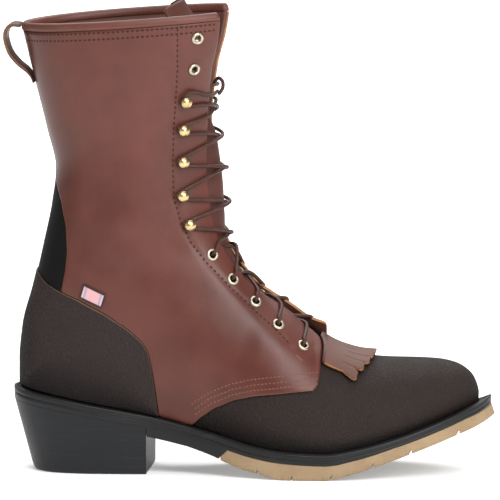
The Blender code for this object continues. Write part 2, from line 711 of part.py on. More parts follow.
def make_quarter(name, side):
    rows, triangles = base_mesh(side)
    rows, triangles = clip(rows, triangles, lambda r: r[:, 0] - QUARTER_ROW)
    rows, triangles = clip(rows, triangles, lambda r: side * (r[:, 3] - section(r[:, 0])["ridge"]) - 1.5)
    rows, triangles = clip(rows, triangles, over_vamp)
    rows, triangles = clip(rows, triangles, above_welt)
    rows, triangles = clip(rows, triangles, lambda r: off_counter(r) - SEAM_GAP)
    rows, triangles = clip(rows, triangles, lambda r: -on_backstay(r) - SEAM_GAP)
    made = add_sheet(name, [(rows, triangles)], SEAT, "smooth_leather", 0.05)
    thicken(made, QUARTER_THICK, outwards=True)
    return made


def make_counter():
    halves = []
    for side in (-1, 1):
        rows, triangles = base_mesh(side)
        rows, triangles = clip(rows, triangles, above_welt)
        halves.append(clip(rows, triangles, lambda r: -off_counter(r) - SEAM_GAP))
    made = add_sheet("counter", halves, COUNTER_SEAT, "pebbled_leather", 0.02)
    thicken(made, COUNTER_THICK, outwards=True)
    return made


def make_backstay():
    halves = []
    for side in (-1, 1):
        rows, triangles = base_mesh(side)
        rows, triangles = clip(rows, triangles, lambda r: r[:, 0] - HEEL_ROW)
        rows, triangles = clip(rows, triangles, lambda r: off_counter(r) - SEAM_GAP)
        halves.append(clip(rows, triangles, lambda r: on_backstay(r) - SEAM_GAP))
    made = add_sheet("backstay", halves, SEAT, "dark_leather", 0.02)
    thicken(made, QUARTER_THICK, outwards=True)
    return made


# Tongue, kiltie, binding, loop and tab


def add_grid(name, points, finish, holes=()):
    """Open sheet from a grid of points, without the faces listed in holes."""
    bm = bmesh.new()
    verts = [[bm.verts.new(Vector(point) * MM) for point in row] for row in points]
    for i in range(len(verts) - 1):
        for j in range(len(verts[0]) - 1):
            if (i, j) not in holes:
                bm.faces.new((verts[i][j], verts[i][j + 1], verts[i + 1][j + 1], verts[i + 1][j]))
    loose = [vert for vert in bm.verts if not vert.link_faces]
    bmesh.ops.delete(bm, geom=loose, context="VERTS")
    data = bpy.data.meshes.new(name)
    bm.to_mesh(data)
    bm.free()
    return add_object(name, data, finish)


def make_tongue():
    points = []
    for s in np.linspace(TONGUE[0, 0], TONGUE[-1, 0], 18):
        half, lean, lift, bulge = (float(smooth(TONGUE, s, column)) for column in (1, 2, 3, 4))
        row = []
        for share in np.linspace(-1, 1, 7):
            rise = bulge * max(0.0, 1 - (half * share / BULGE_HALF) ** 2)
            point = front_point(s, half * share, rise - TONGUE_DROP)
            row.append(point + np.array((-lean, 0.0, lift * (1 - 0.5 * share ** 4))))
        points.append(row)
    made = add_grid("tongue", points, "smooth_leather")
    thicken(made, TONGUE_THICK, outwards=False)
    return made


def make_kiltie():
    halves = len(KILTIE_TIPS)
    pitch = KILTIE_HALF / halves
    vamp_rows = np.column_stack((SECTIONS[::-1, 0], ROWS[::-1]))[np.argsort(SECTIONS[::-1, 0])]
    columns = []
    for side in (-1, 1):
        for index, tip in enumerate(KILTIE_TIPS):
            inner = index * pitch + KILTIE_SLOT / 2
            outer = (index + 1) * pitch - KILTIE_SLOT / 2
            middle = (inner + outer) / 2
            for place, rounding in ((inner, 1.0), (middle, 0.0), (outer, 1.0)):
                columns.append((side * place, side * middle, tip, rounding))
    columns.sort()
    body = (KILTIE_START, KILTIE_ROOT)
    strip = (0.5, 0.93, 1.0)
    round_off = (0.0, 0.12, 0.45)
    points = []
    for x in body:
        points.append([(x, place) for place, middle, tip, rounding in columns])
    for share, narrow in zip(strip, round_off):
        row = []
        for place, middle, tip, rounding in columns:
            fan = 1 + KILTIE_FAN * share
            reach = KILTIE_ROOT + (tip - KILTIE_ROOT) * share
            row.append((reach, fan * (place + (middle - place) * narrow * rounding)))
        points.append(row)
    solid = []
    for row in points:
        solid.append([front_point(float(np.interp(x, vamp_rows[:, 0], vamp_rows[:, 1])), w, KILTIE_GAP)
                      for x, w in row])
    gaps = {(i, j) for i in range(len(body) - 1, len(points) - 1) for j in range(2, len(columns) - 1, 3)}
    made = add_grid("kiltie", solid[::-1], "smooth_leather", {(len(points) - 2 - i, j) for i, j in gaps})
    thicken(made, KILTIE_THICK, outwards=True)
    return made


def tube(name, points, radius, finish, sides):
    """Round cord along a list of points."""
    data = bpy.data.curves.new(name, "CURVE")
    data.dimensions = "3D"
    data.bevel_depth = radius * MM
    data.bevel_resolution = sides
    data.use_fill_caps = True
    spline = data.splines.new("POLY")
    spline.points.add(len(points) - 1)
    for slot, point in zip(spline.points, points):
        slot.co = (*(Vector(point) * MM), 1.0)
    return add_object(name, data, finish)


def smooth_route(points, steps):
    """Rounded path through hand-placed points."""
    points = np.asarray(points, float)
    padded = np.vstack((2 * points[0] - points[1], points, 2 * points[-1] - points[-2]))
    path = []
    for a, b, c, d in zip(padded, padded[1:], padded[2:], padded[3:]):
        for u in np.arange(steps) / steps:
            path.append(0.5 * (2 * b + (c - a) * u + (2 * a - 5 * b + 4 * c - d) * u ** 2
                               + (3 * b - a - 3 * c + d) * u ** 3))
    path.append(points[-1])
    return np.array(path)


def make_binding():
    rise = np.array((0.0, 0.0, SEAT + BINDING_RADIUS))
    t_places = np.linspace(0, 1, 15)
    outer = surface(COLLAR_ROW, t_places, -1)[0]
    inner = surface(COLLAR_ROW, t_places[-2::-1], 1)[0]
    return tube("collar_binding", np.vstack((outer, inner)) + rise, BINDING_RADIUS, "edge_leather", 1)


def make_loop():
    middle = smooth_route([(x, 0.0, z) for x, z in LOOP_LINE], 2)
    run = unit(np.gradient(middle, axis=0))
    thick = np.cross(run, (0.0, 1.0, 0.0)) * LOOP_THICK / 2
    wide = np.array((0.0, LOOP_WIDTH / 2, 0.0))
    rings = [(m - n - wide, m - n + wide, m + n + wide, m + n - wide) for m, n in zip(middle, thick)]
    return loft("pull_loop", rings, "smooth_leather")


def make_tab():
    lift = SEAT + QUARTER_THICK + TAB_GAP
    points = []
    for across in np.linspace(0, 1, 4):
        row = []
        for along in np.linspace(0, 1, 5):
            left = TAB_CORNERS[0, 0] + (TAB_CORNERS[1, 0] - TAB_CORNERS[0, 0]) * across
            right = TAB_CORNERS[0, 1] + (TAB_CORNERS[1, 1] - TAB_CORNERS[0, 1]) * across
            x, z = left + (right - left) * along
            s, t, _ = find(x, z, -1)
            row.append(surface(s, t, -1)[0] + lift * outward(s, t, -1))
        points.append(row)
    made = add_grid("side_tab", points, "tab_cloth")
    thicken(made, TAB_THICK, outwards=True)
    return made


# Eyelets, hooks and lace


def seat_on(x, z, side):
    """Frame on the quarter: point of the upper, outward, up along the throat, away from the throat."""
    s, t, _ = find(x, z, side)
    away = outward(s, t, side)
    small = 0.01
    back = unit(surface(s, t + small, side)[0] - surface(s, t - small, side)[0])
    up = np.cross(away, back) * side
    return surface(s, t, side)[0], away, up, back, s


FITTING_LIFT = SEAT + QUARTER_THICK + FITTING_GAP


def turned(name, profile, steps, place, away, finish):
    """Fitting turned from a profile of (radius, height), standing on the quarter."""
    bm = bmesh.new()
    verts = [bm.verts.new((radius * MM, 0.0, height * MM)) for radius, height in profile]
    for a, b in zip(verts, verts[1:]):
        bm.edges.new((a, b))
    data = bpy.data.meshes.new(name)
    bm.to_mesh(data)
    bm.free()
    made = add_object(name, data, finish)
    screw = made.modifiers.new("turn", "SCREW")
    screw.steps = steps
    screw.render_steps = steps
    screw.use_merge_vertices = True
    screw.merge_threshold = 0.00001
    screw.use_normal_calculate = True
    made.location = Vector(place + FITTING_LIFT * away) * MM
    made.rotation_mode = "QUATERNION"
    made.rotation_quaternion = Vector(away).to_track_quat("Z", "Y")
    return made


SIDES = (("lateral", -1), ("medial", 1))


def make_eyelets():
    profile = ((EYELET_OUTER, EYELET_HEIGHT * 0.3), (EYELET_OUTER, 0.0), (EYELET_HOLE, 0.0),
               (EYELET_HOLE + 0.5, EYELET_HEIGHT), (EYELET_OUTER, EYELET_HEIGHT * 0.3))
    for label, side in SIDES:
        for index, (x, z) in enumerate(EYELETS):
            place, away, _, _, _ = seat_on(x, z, side)
            turned(f"eyelet_{label}_{index + 1}", profile[::-1], 7, place, away, "old_nickel")


def make_hooks():
    profile = ((0.0, HOOK_HEIGHT), (2.8, HOOK_HEIGHT - 0.7), (HOOK_DOME, HOOK_HEIGHT - 2.3),
               (HOOK_NECK, HOOK_HEIGHT - 2.5), (HOOK_NECK, HOOK_FOOT), (HOOK_BASE, HOOK_FOOT - 0.2),
               (HOOK_BASE, 0.0), (0.0, 0.0))
    for label, side in SIDES:
        for index, (x, z) in enumerate(HOOKS):
            place, away, _, _, _ = seat_on(x, z, side)
            turned(f"hook_{label}_{index + 1}", profile, 7, place, away, "brass")


def punch_holes():
    """Cut the eyelet holes through quarter and upper."""
    depth = 14.0
    for label, side in SIDES:
        bm = bmesh.new()
        for x, z in EYELETS:
            place, away, _, _, _ = seat_on(x, z, side)
            turn = Vector(away).to_track_quat("Z", "Y").to_matrix().to_4x4()
            bmesh.ops.create_cone(bm, cap_ends=True, segments=6, radius1=(EYELET_HOLE + 0.2) * MM,
                                  radius2=(EYELET_HOLE + 0.2) * MM, depth=depth * MM,
                                  matrix=Matrix.Translation(Vector(place) * MM) @ turn)
        data = bpy.data.meshes.new(f"holes_{label}")
        bm.to_mesh(data)
        bm.free()
        cutter = bpy.data.objects.new(f"holes_{label}", data)
        CUTTERS.objects.link(cutter)
        cutter.hide_render = True
        cutter.display_type = "WIRE"
        for name in ("upper", f"quarter_{label}"):
            cut = bpy.data.objects[name].modifiers.new(f"holes_{label}", "BOOLEAN")
            cut.operation = "DIFFERENCE"
            cut.object = cutter


def lace_turn(level, side):
    """Route round one eyelet or hook: below it, outside it and above it."""
    count = len(HOOKS)
    hooked = level >= count
    x, z = HOOKS[level - count] if hooked else EYELETS[level]
    place, away, up, back, s = seat_on(x, z, side)
    if hooked:
        lift = FITTING_LIFT + HOOK_FOOT + LACE_CLEAR / 2 + LACE_RADIUS
        radius = HOOK_NECK + LACE_CLEAR + LACE_RADIUS
        angles = (-90, -30, 30, 90)
    else:
        lift = FITTING_LIFT + EYELET_HEIGHT + LACE_CLEAR + LACE_RADIUS
        radius = LACE_CLEAR + LACE_RADIUS
        angles = (-60, 60)
    middle = place + lift * away
    turns = (math.radians(angle) for angle in angles)
    return [middle + radius * (math.cos(a) * back + math.sin(a) * up) for a in turns], s


def lace_cross(s_from, s_to, side, shares=EYELET_SHARES):
    """Route over the throat from one side to the other."""
    edge_lift = SEAT + QUARTER_THICK + LACE_EDGE_CLEAR + LACE_RADIUS
    path = []
    for share, sign in zip(shares, (side, 0, -side)):
        s = s_from + (s_to - s_from) * share
        w = sign * (float(section(s)["gap"]) + 1.0)
        over_tongue = float(smooth(TONGUE, s, 4)) - TONGUE_DROP + LACE_EDGE_CLEAR + LACE_RADIUS
        path.append(front_point(s, w, edge_lift if sign else max(LACE_MIDDLE_LIFT, over_tongue)))
    return path


def lace_half(first_side):
    """Half the lace, from the middle of the bottom bar up to the middle of the top bar."""
    levels = 2 * len(HOOKS)
    side = first_side
    _, s_bottom = lace_turn(0, side)
    path = lace_cross(s_bottom - BAR_DROP, s_bottom - BAR_DROP, -side)[1:]
    for level in range(levels):
        turn, s = lace_turn(level, side)
        path += turn
        if level < levels - 1:
            _, s_next = lace_turn(level + 1, -side)
            if level + 1 < len(HOOKS):
                path += lace_cross(s, s_next, side)
            else:
                path += lace_cross(s, s_next - HOOK_DIP, side, HOOK_SHARES)
            side = -side
    path += lace_cross(s + 0.25, s + 0.25, side)[:2]
    return path


def as_mesh(piece):
    """Turn a curve object into a welded mesh object of the same name."""
    name = piece.name
    finish = piece.data.materials[0].name
    ready = piece.evaluated_get(bpy.context.evaluated_depsgraph_get())
    data = bpy.data.meshes.new_from_object(ready)
    bm = bmesh.new()
    bm.from_mesh(data)
    bmesh.ops.remove_doubles(bm, verts=bm.verts, dist=0.00001)
    bmesh.ops.recalc_face_normals(bm, faces=bm.faces)
    bpy.data.objects.remove(piece)
    clean = bpy.data.meshes.new(name)
    bm.to_mesh(clean)
    bm.free()
    return add_object(name, clean, finish)


def make_lace():
    reach = 0.6
    halves = []
    for name, side in (("lace", -1), ("lace_other_half", 1)):
        path = lace_half(side)
        ends = [path[0] + reach * unit(path[0] - path[1]), path[-1] + reach * unit(path[-1] - path[-2])]
        halves.append(as_mesh(tube(name, ends[:1] + path + ends[1:], LACE_RADIUS, "cord", 0)))
    lace, other = halves
    PARTS.objects.unlink(other)
    CUTTERS.objects.link(other)
    other.hide_render = True
    other.display_type = "WIRE"
    join = lace.modifiers.new("join", "BOOLEAN")
    join.operation = "UNION"
    join.object = other


make_outsole()
make_midsole()
make_welt()
make_heel()
make_insole()
make_upper()
make_quarter("quarter_lateral", -1)
make_quarter("quarter_medial", 1)
make_counter()
make_backstay()
make_tongue()
make_kiltie()
make_binding()
make_loop()
make_tab()
make_eyelets()
make_hooks()
punch_holes()
make_lace()
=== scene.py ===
"""Looks of a packer boot for the right foot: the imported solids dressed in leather, rubber, cord and metal.

Metres, +Z up, +X to the toe, -Y to the outer (lateral) side. Tables are in millimetres.
"""
import math

import bpy
import numpy as np
from mathutils import Matrix, Vector


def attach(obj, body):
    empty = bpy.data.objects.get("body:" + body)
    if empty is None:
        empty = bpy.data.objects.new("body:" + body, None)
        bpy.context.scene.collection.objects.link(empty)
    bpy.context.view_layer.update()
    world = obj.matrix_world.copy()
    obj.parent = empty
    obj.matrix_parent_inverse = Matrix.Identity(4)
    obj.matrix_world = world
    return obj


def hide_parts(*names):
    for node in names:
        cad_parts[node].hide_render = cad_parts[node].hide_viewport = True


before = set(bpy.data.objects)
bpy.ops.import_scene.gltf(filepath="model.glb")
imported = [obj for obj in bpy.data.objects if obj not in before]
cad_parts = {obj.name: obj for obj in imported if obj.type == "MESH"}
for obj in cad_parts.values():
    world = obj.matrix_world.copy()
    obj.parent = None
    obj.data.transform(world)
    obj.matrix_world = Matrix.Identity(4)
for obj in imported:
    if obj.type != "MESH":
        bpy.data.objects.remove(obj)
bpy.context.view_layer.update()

# Studio: a pale floor, soft boxes on both sides and above, and the camera of the picture.
# The camera stands far off with a long lens, a little towards the toe and a little above the boot.
AIM = Vector((0.0, 0.0, 0.140))
CAMERA_TURN = math.radians(5.0)
CAMERA_RISE = math.radians(6.75)
CAMERA_AWAY = 6.0
PICTURE_WIDTH = 0.317
SENSOR_WIDTH = 36.0
FLOOR_SIZE = 60.0
WORLD_LIGHT = 0.17
FLOOR_GLOW = 0.3
# Soft boxes: place, point that it faces, width, height, power
SOFT_BOXES = (
    ("box_left", (-1.53, -1.33, 0.75), (0.0, 0.0, 0.16), 0.4, 1.3, 2.5),
    ("box_right", (1.22, -1.46, 1.04), (0.0, 0.0, 0.14), 0.9, 1.2, 30.0),
    ("box_high", (0.3, -1.75, 1.75), (0.0, 0.0, 0.14), 0.8, 0.8, 25.0),
    ("box_above", (0.1, 0.1, 2.3), (0.0, 0.0, 0.1), 1.8, 1.8, 24.0),
    ("floor_wash", (0.0, 2.6, 2.6), (0.0, 2.4, 0.0), 3.6, 2.4, 130.0))

camera_data = bpy.data.cameras.new("camera")
camera_data.sensor_width = SENSOR_WIDTH
camera_data.lens = SENSOR_WIDTH * CAMERA_AWAY / PICTURE_WIDTH
camera_data.clip_end = 100.0
camera = bpy.data.objects.new("camera", camera_data)
bpy.context.scene.collection.objects.link(camera)
back = Vector((math.sin(CAMERA_TURN) * math.cos(CAMERA_RISE),
               -math.cos(CAMERA_TURN) * math.cos(CAMERA_RISE), math.sin(CAMERA_RISE)))
camera.location = AIM + CAMERA_AWAY * back
camera.rotation_euler = (-back).to_track_quat("-Z", "Y").to_euler()
bpy.context.scene.camera = camera
bpy.context.scene.view_settings.view_transform = "Standard"

world = bpy.data.worlds.new("studio")
world.use_nodes = True
world.node_tree.nodes["Background"].inputs["Color"].default_value = (1.0, 1.0, 1.0, 1.0)
world.node_tree.nodes["Background"].inputs["Strength"].default_value = WORLD_LIGHT
bpy.context.scene.world = world

for box_name, box_place, box_aim, box_width, box_height, box_power in SOFT_BOXES:
    bpy.ops.object.light_add(type="AREA", location=box_place)
    soft_box = bpy.context.object
    soft_box.name = box_name
    soft_box.data.shape = "RECTANGLE"
    soft_box.data.size = box_width
    soft_box.data.size_y = box_height
    soft_box.data.energy = box_power
    soft_box.rotation_euler = (Vector(box_aim) - Vector(box_place)).to_track_quat("-Z", "Y").to_euler()

bpy.ops.mesh.primitive_plane_add(size=FLOOR_SIZE)
floor = bpy.context.object
floor.name = "floor"
floor_paint = bpy.data.materials.new("floor_paint")
floor_paint.use_nodes = True
floor_shader = floor_paint.node_tree.nodes["Principled BSDF"]
floor_shader.inputs["Base Color"].default_value = (0.9, 0.9, 0.9, 1.0)
floor_shader.inputs["Roughness"].default_value = 0.95
floor_shader.inputs["Specular IOR Level"].default_value = 0.0
floor_shader.inputs["Emission Color"].default_value = (1.0, 1.0, 1.0, 1.0)
floor_shader.inputs["Emission Strength"].default_value = FLOOR_GLOW
floor.data.materials.append(floor_paint)

# Forefoot outsole: a tan rubber unit under the front of the boot, moulded with toe spring.
# Cross grooves notch its edge, fine ribs run along its foot, and its rear end tapers into the shank.
MM = 0.001
SOLE_PLAN = np.array((
    (-150.0, -3.0, -3.0), (-146.0, -20.0, 14.0), (-138.0, -29.0, 23.0), (-125.0, -35.0, 29.0),
    (-105.0, -37.5, 31.5), (-80.0, -37.0, 31.0), (-60.0, -36.0, 29.0), (-40.0, -37.0, 28.0),
    (-20.0, -41.0, 30.0), (0.0, -47.0, 35.0), (20.0, -51.5, 41.5), (35.0, -53.0, 47.0),
    (50.0, -53.0, 51.0), (65.0, -51.5, 53.0), (80.0, -48.5, 52.5), (95.0, -44.0, 50.5),
    (110.0, -38.6, 47.0), (125.0, -31.0, 42.0), (138.0, -21.8, 35.2), (148.0, -10.8, 26.6),
    (153.0, -2.6, 18.6), (155.6, 8.0, 8.0)))
WELT_TOP = np.array((
    (-150.0, 53.6), (-120.0, 48.3), (-95.0, 43.5), (-63.0, 37.8), (-32.0, 30.2), (-13.0, 25.0), (6.0, 20.0),
    (25.0, 17.2), (51.0, 16.0), (70.0, 18.9), (95.0, 25.4), (120.0, 34.1), (139.0, 41.6), (147.0, 44.9),
    (155.6, 50.6)))
MIDSOLE_THICK = np.array((
    (-150.0, 4.0), (-63.0, 4.0), (-62.4, 9.5), (-36.0, 8.9), (-21.0, 9.8), (-16.4, 10.4), (-10.6, 3.0),
    (60.0, 3.0), (95.0, 1.5), (139.0, 1.7), (156.0, 2.6)))
# How far welt and midsole stand back at the toe: length position, way in
TOE_SETBACK = np.array(((-150.0, 0.0), (115.0, 0.0), (142.0, 0.9), (155.6, 2.6)))
TREAD = np.array((
    (-15.0, 11.0), (-4.0, 6.8), (4.0, 4.6), (15.0, 1.8), (25.0, 0.0), (50.0, 0.0), (56.0, 0.8), (82.0, 8.0),
    (105.0, 16.0), (120.0, 21.4), (134.0, 26.7), (146.0, 31.3), (152.0, 34.4), (155.6, 37.0)))
TREAD_REAR = -15.0
WELT_THICK = 3.0
LAYER_GAP = 0.5
SEAT = 0.3
GROOVES = (9.0, 31.0, 56.0, 82.0, 105.0, 134.0)
SOLE_SEAT = 0.08
GROOVE_WIDTH = 1.6
GROOVE_DEPTH = 2.2
GROOVE_WALL = 0.3
OUTSOLE_INSET = 0.4
RIB_PITCH = 1.7
OUTSOLE_STEPS = 1600
# Vertices that lie this close, in metres, become one; faces this thin go
WELD = 0.000005
SLIVER = 0.000002


def smooth(table, at, column=1):
    """Shape-keeping cubic through one column of a table whose first column rises."""
    xs = table[:, 0]
    ys = table[:, column]
    at = np.clip(np.asarray(at, float), xs[0], xs[-1])
    step = np.diff(xs)
    slope = np.diff(ys) / step
    tangent = np.concatenate((slope[:1], np.zeros(len(slope) - 1), slope[-1:]))
    before = slope[:-1]
    after = slope[1:]
    rising = before * after > 0
    weight_a = 2 * step[1:] + step[:-1]
    weight_b = step[1:] + 2 * step[:-1]
    safe_before = np.where(rising, before, 1.0)
    safe_after = np.where(rising, after, 1.0)
    mean = (weight_a + weight_b) / (weight_a / safe_before + weight_b / safe_after)
    tangent[1:-1] = np.where(rising, mean, 0.0)
    i = np.clip(np.searchsorted(xs, at, side="right") - 1, 0, len(step) - 1)
    u = (at - xs[i]) / step[i]
    return (ys[i] * (1 + 2 * u) * (1 - u) ** 2 + step[i] * tangent[i] * u * (1 - u) ** 2
            + ys[i + 1] * u * u * (3 - 2 * u) - step[i] * tangent[i + 1] * u * u * (1 - u))


def plan_edges(inset, count=801):
    """Outer and inner edge of the sole seen from above, heel to toe, moved in by inset."""
    low = SOLE_PLAN[0, 0]
    high = SOLE_PLAN[-1, 0]
    turn = np.linspace(0.0, math.pi, count)
    rows = np.arccos(np.clip(1 - 2 * (SOLE_PLAN[:, 0] - low) / (high - low), -1, 1))
    x = low + (1 - np.cos(turn)) / 2 * (high - low)
    edges = []
    for column, side in ((1, -1.0), (2, 1.0)):
        y = smooth(np.column_stack((rows, SOLE_PLAN[:, column])), turn)
        run = np.column_stack((np.gradient(x), np.gradient(y)))
        run[0] = (0.0, side)
        run[-1] = (0.0, -side)
        run /= np.linalg.norm(run, axis=1)[:, None]
        amount = inset(x) if callable(inset) else inset
        edges.append((x + side * run[:, 1] * amount, y - side * run[:, 0] * amount))
    return edges


def welt_top(x):
    return smooth(WELT_TOP, x)


def midsole_top(x):
    return welt_top(x) - WELT_THICK - LAYER_GAP


def midsole_bottom(x):
    return midsole_top(x) - np.interp(x, MIDSOLE_THICK[:, 0], MIDSOLE_THICK[:, 1])


def face_out(piece, facing):
    """Turn an open sheet's faces to the side that facing gives: directions for points in millimetres."""
    count = len(piece.data.polygons)
    middles = np.empty(count * 3)
    normals = np.empty(count * 3)
    piece.data.polygons.foreach_get("center", middles)
    piece.data.polygons.foreach_get("normal", normals)
    agree = (normals.reshape(-1, 3) * facing(middles.reshape(-1, 3) / MM)).sum()
    if agree < 0:
        bpy.ops.object.mode_set(mode="EDIT")
        bpy.ops.mesh.select_all(action="SELECT")
        bpy.ops.mesh.flip_normals()
        bpy.ops.object.mode_set(mode="OBJECT")


def laid_grid(name, across, along, shape, facing=None):
    """Add a grid and lay it in the boot: shape(u, v) gives millimetres for u and v from 0 to 1.

    With facing it stays an open sheet that faces that way, and without it is closed.
    """
    bpy.ops.object.select_all(action="DESELECT")
    bpy.ops.mesh.primitive_grid_add(x_subdivisions=across, y_subdivisions=along, size=1.0)
    piece = bpy.context.object
    piece.name = name
    piece.data.name = name
    flat = np.empty(len(piece.data.vertices) * 3)
    piece.data.vertices.foreach_get("co", flat)
    flat = flat.reshape(-1, 3)
    placed = shape(flat[:, 0] + 0.5, flat[:, 1] + 0.5) * MM
    piece.data.vertices.foreach_set("co", placed.ravel())
    piece.data.update()
    bpy.ops.object.mode_set(mode="EDIT")
    bpy.ops.mesh.select_all(action="SELECT")
    bpy.ops.mesh.remove_doubles(threshold=WELD)
    bpy.ops.mesh.dissolve_degenerate(threshold=SLIVER)
    if facing is None:
        bpy.ops.mesh.select_all(action="SELECT")
        bpy.ops.mesh.fill_holes(sides=0)
        bpy.ops.mesh.select_all(action="SELECT")
        bpy.ops.mesh.normals_make_consistent(inside=False)
    bpy.ops.object.mode_set(mode="OBJECT")
    bpy.ops.object.shade_smooth()
    if facing is not None:
        face_out(piece, facing)
    return piece


def round_plan(u):
    """Way round the sole for u from 0 to 1: on the outer side or not, share of the way from heel to toe."""
    turn = u * 2 % 2
    lateral = turn <= 1
    return lateral, np.where(lateral, turn, 2 - turn)


def across_plan(edges, x):
    """Outer edge, inner edge and middle of the sole's plan at x."""
    outer, inner = (np.interp(x, *edge) for edge in edges)
    return outer, inner, (outer + inner) / 2


def toe_setback(x):
    return smooth(TOE_SETBACK, x)


def sole_plate(name, inset, x_of, profile, around, top, bottom):
    """Layer of the sole between two heights.

    Profile rows: share of the half width, way in at the edge, level from the top down, share of the setback.
    """
    loops = []
    for _, way_in, _, back in profile:
        loops.append(plan_edges(lambda x: inset + way_in + back * toe_setback(x)))

    def shape(u, v):
        lateral, x_share = round_plan(u)
        x_plan = x_of(x_share)
        row = np.rint(v * (len(profile) - 1)).astype(int)
        points = np.zeros((len(u), 3))
        for k, (share, _, level, _) in enumerate(profile):
            here = row == k
            edges = loops[k]
            x = np.clip(x_plan[here], edges[0][0][0], edges[0][0][-1])
            outer, inner, middle = across_plan(edges, x)
            y = np.where(lateral[here], outer, inner)
            z = top(x) + (bottom(x) - top(x)) * level
            points[here] = np.column_stack((x, middle + (y - middle) * share, z))
        return points

    return laid_grid(name, around, len(profile) - 1, shape)


class Value:
    """A shader value that Python arithmetic can use: each operator adds one Math node."""

    def __init__(self, finish, socket):
        self.finish = finish
        self.socket = socket

    def math(self, operation, *others):
        sockets = dict(enumerate((self,) + others))
        return self.finish.node("ShaderNodeMath", {"operation": operation}, sockets)

    def __add__(self, other):
        return self.math("ADD", other)

    __radd__ = __add__

    def __mul__(self, other):
        return self.math("MULTIPLY", other)

    __rmul__ = __mul__

    def __sub__(self, other):
        return self.math("SUBTRACT", other)

    def __rsub__(self, other):
        return self.finish.node("ShaderNodeMath", {"operation": "SUBTRACT"}, {0: other, 1: self})

    def sine(self):
        return self.math("SINE")

    def size(self):
        return self.math("ABSOLUTE")

    def step(self, low, high):
        """0 below low and 1 above high, smooth between."""
        return self.finish.node("ShaderNodeMapRange", {"interpolation_type": "SMOOTHSTEP"},
                                {"Value": self, "From Min": low, "From Max": high})

    def colour(self, low, high):
        """Colour that runs from low to high as the value runs from 0 to 1."""
        return self.finish.node("ShaderNodeMix", {"data_type": "RGBA"}, {0: self, 6: low, 7: high}, 2)


class Finish:
    """A material being mixed. node() adds one node: its type, settings, and socket values or links."""

    def __init__(self, name):
        self.material = bpy.data.materials.new(name)
        self.material.use_nodes = True
        self.tree = self.material.node_tree
        self.shader = self.tree.nodes["Principled BSDF"]

    def link(self, value, socket):
        if isinstance(value, Value):
            self.tree.links.new(value.socket, socket)
        elif isinstance(value, tuple) and len(value) == 3 and len(getattr(socket, "default_value", ())) == 4:
            socket.default_value = (*value, 1.0)
        else:
            socket.default_value = value

    def node(self, kind, settings, sockets, output=0):
        made = self.tree.nodes.new(kind)
        for key, value in settings.items():
            setattr(made, key, value)
        for key, value in sockets.items():
            self.link(value, made.inputs[key])
        return Value(self, made.outputs[output])

    def place(self):
        """Object coordinates: metres in the boot's own frame."""
        return self.node("ShaderNodeTexCoord", {}, {}, "Object")

    def axis(self, name):
        """One of the X, Y and Z of the object coordinates."""
        return self.node("ShaderNodeSeparateXYZ", {}, {"Vector": self.place()}, name)

    def uv(self, name):
        """X or Y of the piece's own UV map."""
        spot = self.node("ShaderNodeTexCoord", {}, {}, "UV")
        return self.node("ShaderNodeSeparateXYZ", {}, {"Vector": spot}, name)

    def stretched(self, scale):
        """Object coordinates scaled apart in X, Y and Z."""
        return self.node("ShaderNodeMapping", {}, {"Vector": self.place(), "Scale": scale})

    def noise(self, scale, detail=3.0, vector=None, roughness=0.55):
        sockets = {"Vector": vector or self.place(), "Scale": scale, "Detail": detail, "Roughness": roughness}
        return self.node("ShaderNodeTexNoise", {}, sockets)

    def cells(self, scale, vector=None, feature="DISTANCE_TO_EDGE"):
        return self.node("ShaderNodeTexVoronoi", {"feature": feature},
                         {"Vector": vector or self.place(), "Scale": scale})

    def bump(self, height, strength, distance):
        return self.node("ShaderNodeBump", {}, {"Height": height, "Strength": strength, "Distance": distance})

    def surface(self, sockets):
        """Set or link the sockets of the shader and give back the material."""
        for key, value in sockets.items():
            self.link(value, self.shader.inputs[key])
        return self.material


def dress(piece, slot, *materials):
    """Give a piece its materials and the boot's one body; slot is not used."""
    piece.data.materials.clear()
    for material in materials:
        piece.data.materials.append(material)
    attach(piece, "root")


def tan_rubber():
    finish = Finish("tan_crepe_rubber")
    cloud = finish.noise(55.0, 4.0)
    speck = finish.noise(900.0, 2.0)
    down = finish.uv("Y")
    tread_part = down.step(0.66, 0.69)
    ribbed = down.step(0.46, 0.5) - tread_part
    ribs = (finish.axis("X") * (2000 * math.pi / RIB_PITCH)).sine() * ribbed
    colour = (cloud * 0.7 + speck * 0.3).step(0.3, 0.7).colour((0.262, 0.176, 0.100), (0.338, 0.240, 0.141))
    dirt = (ribbed * finish.noise(140.0, 4.0).step(0.45, 0.75) * 0.3).colour(colour, (0.20, 0.13, 0.07))
    grain = speck * 0.5 + finish.noise(300.0, 3.0) * 0.5 + ribs * 0.8
    return finish.surface({
        "Base Color": tread_part.colour(dirt, (0.13, 0.105, 0.075)), "Roughness": cloud * 0.2 + 0.6,
        "Specular IOR Level": 0.25, "Normal": finish.bump(grain, 0.3, 0.0005)})


def outsole_x(share):
    """Length positions of the forefoot unit, closer at the toe."""
    high = SOLE_PLAN[-1, 0]
    return TREAD_REAR + (high - TREAD_REAR) * np.sin(share * math.pi / 2)


def tread(x):
    """Height of the tread with its cross grooves."""
    height = smooth(TREAD, x)
    for groove in GROOVES:
        wall = np.clip((GROOVE_WIDTH / 2 - np.abs(x - groove)) / GROOVE_WALL + 0.5, 0, 1)
        height = height + GROOVE_DEPTH * wall
    return height


def outsole_top(x):
    return midsole_bottom(x) - SOLE_SEAT


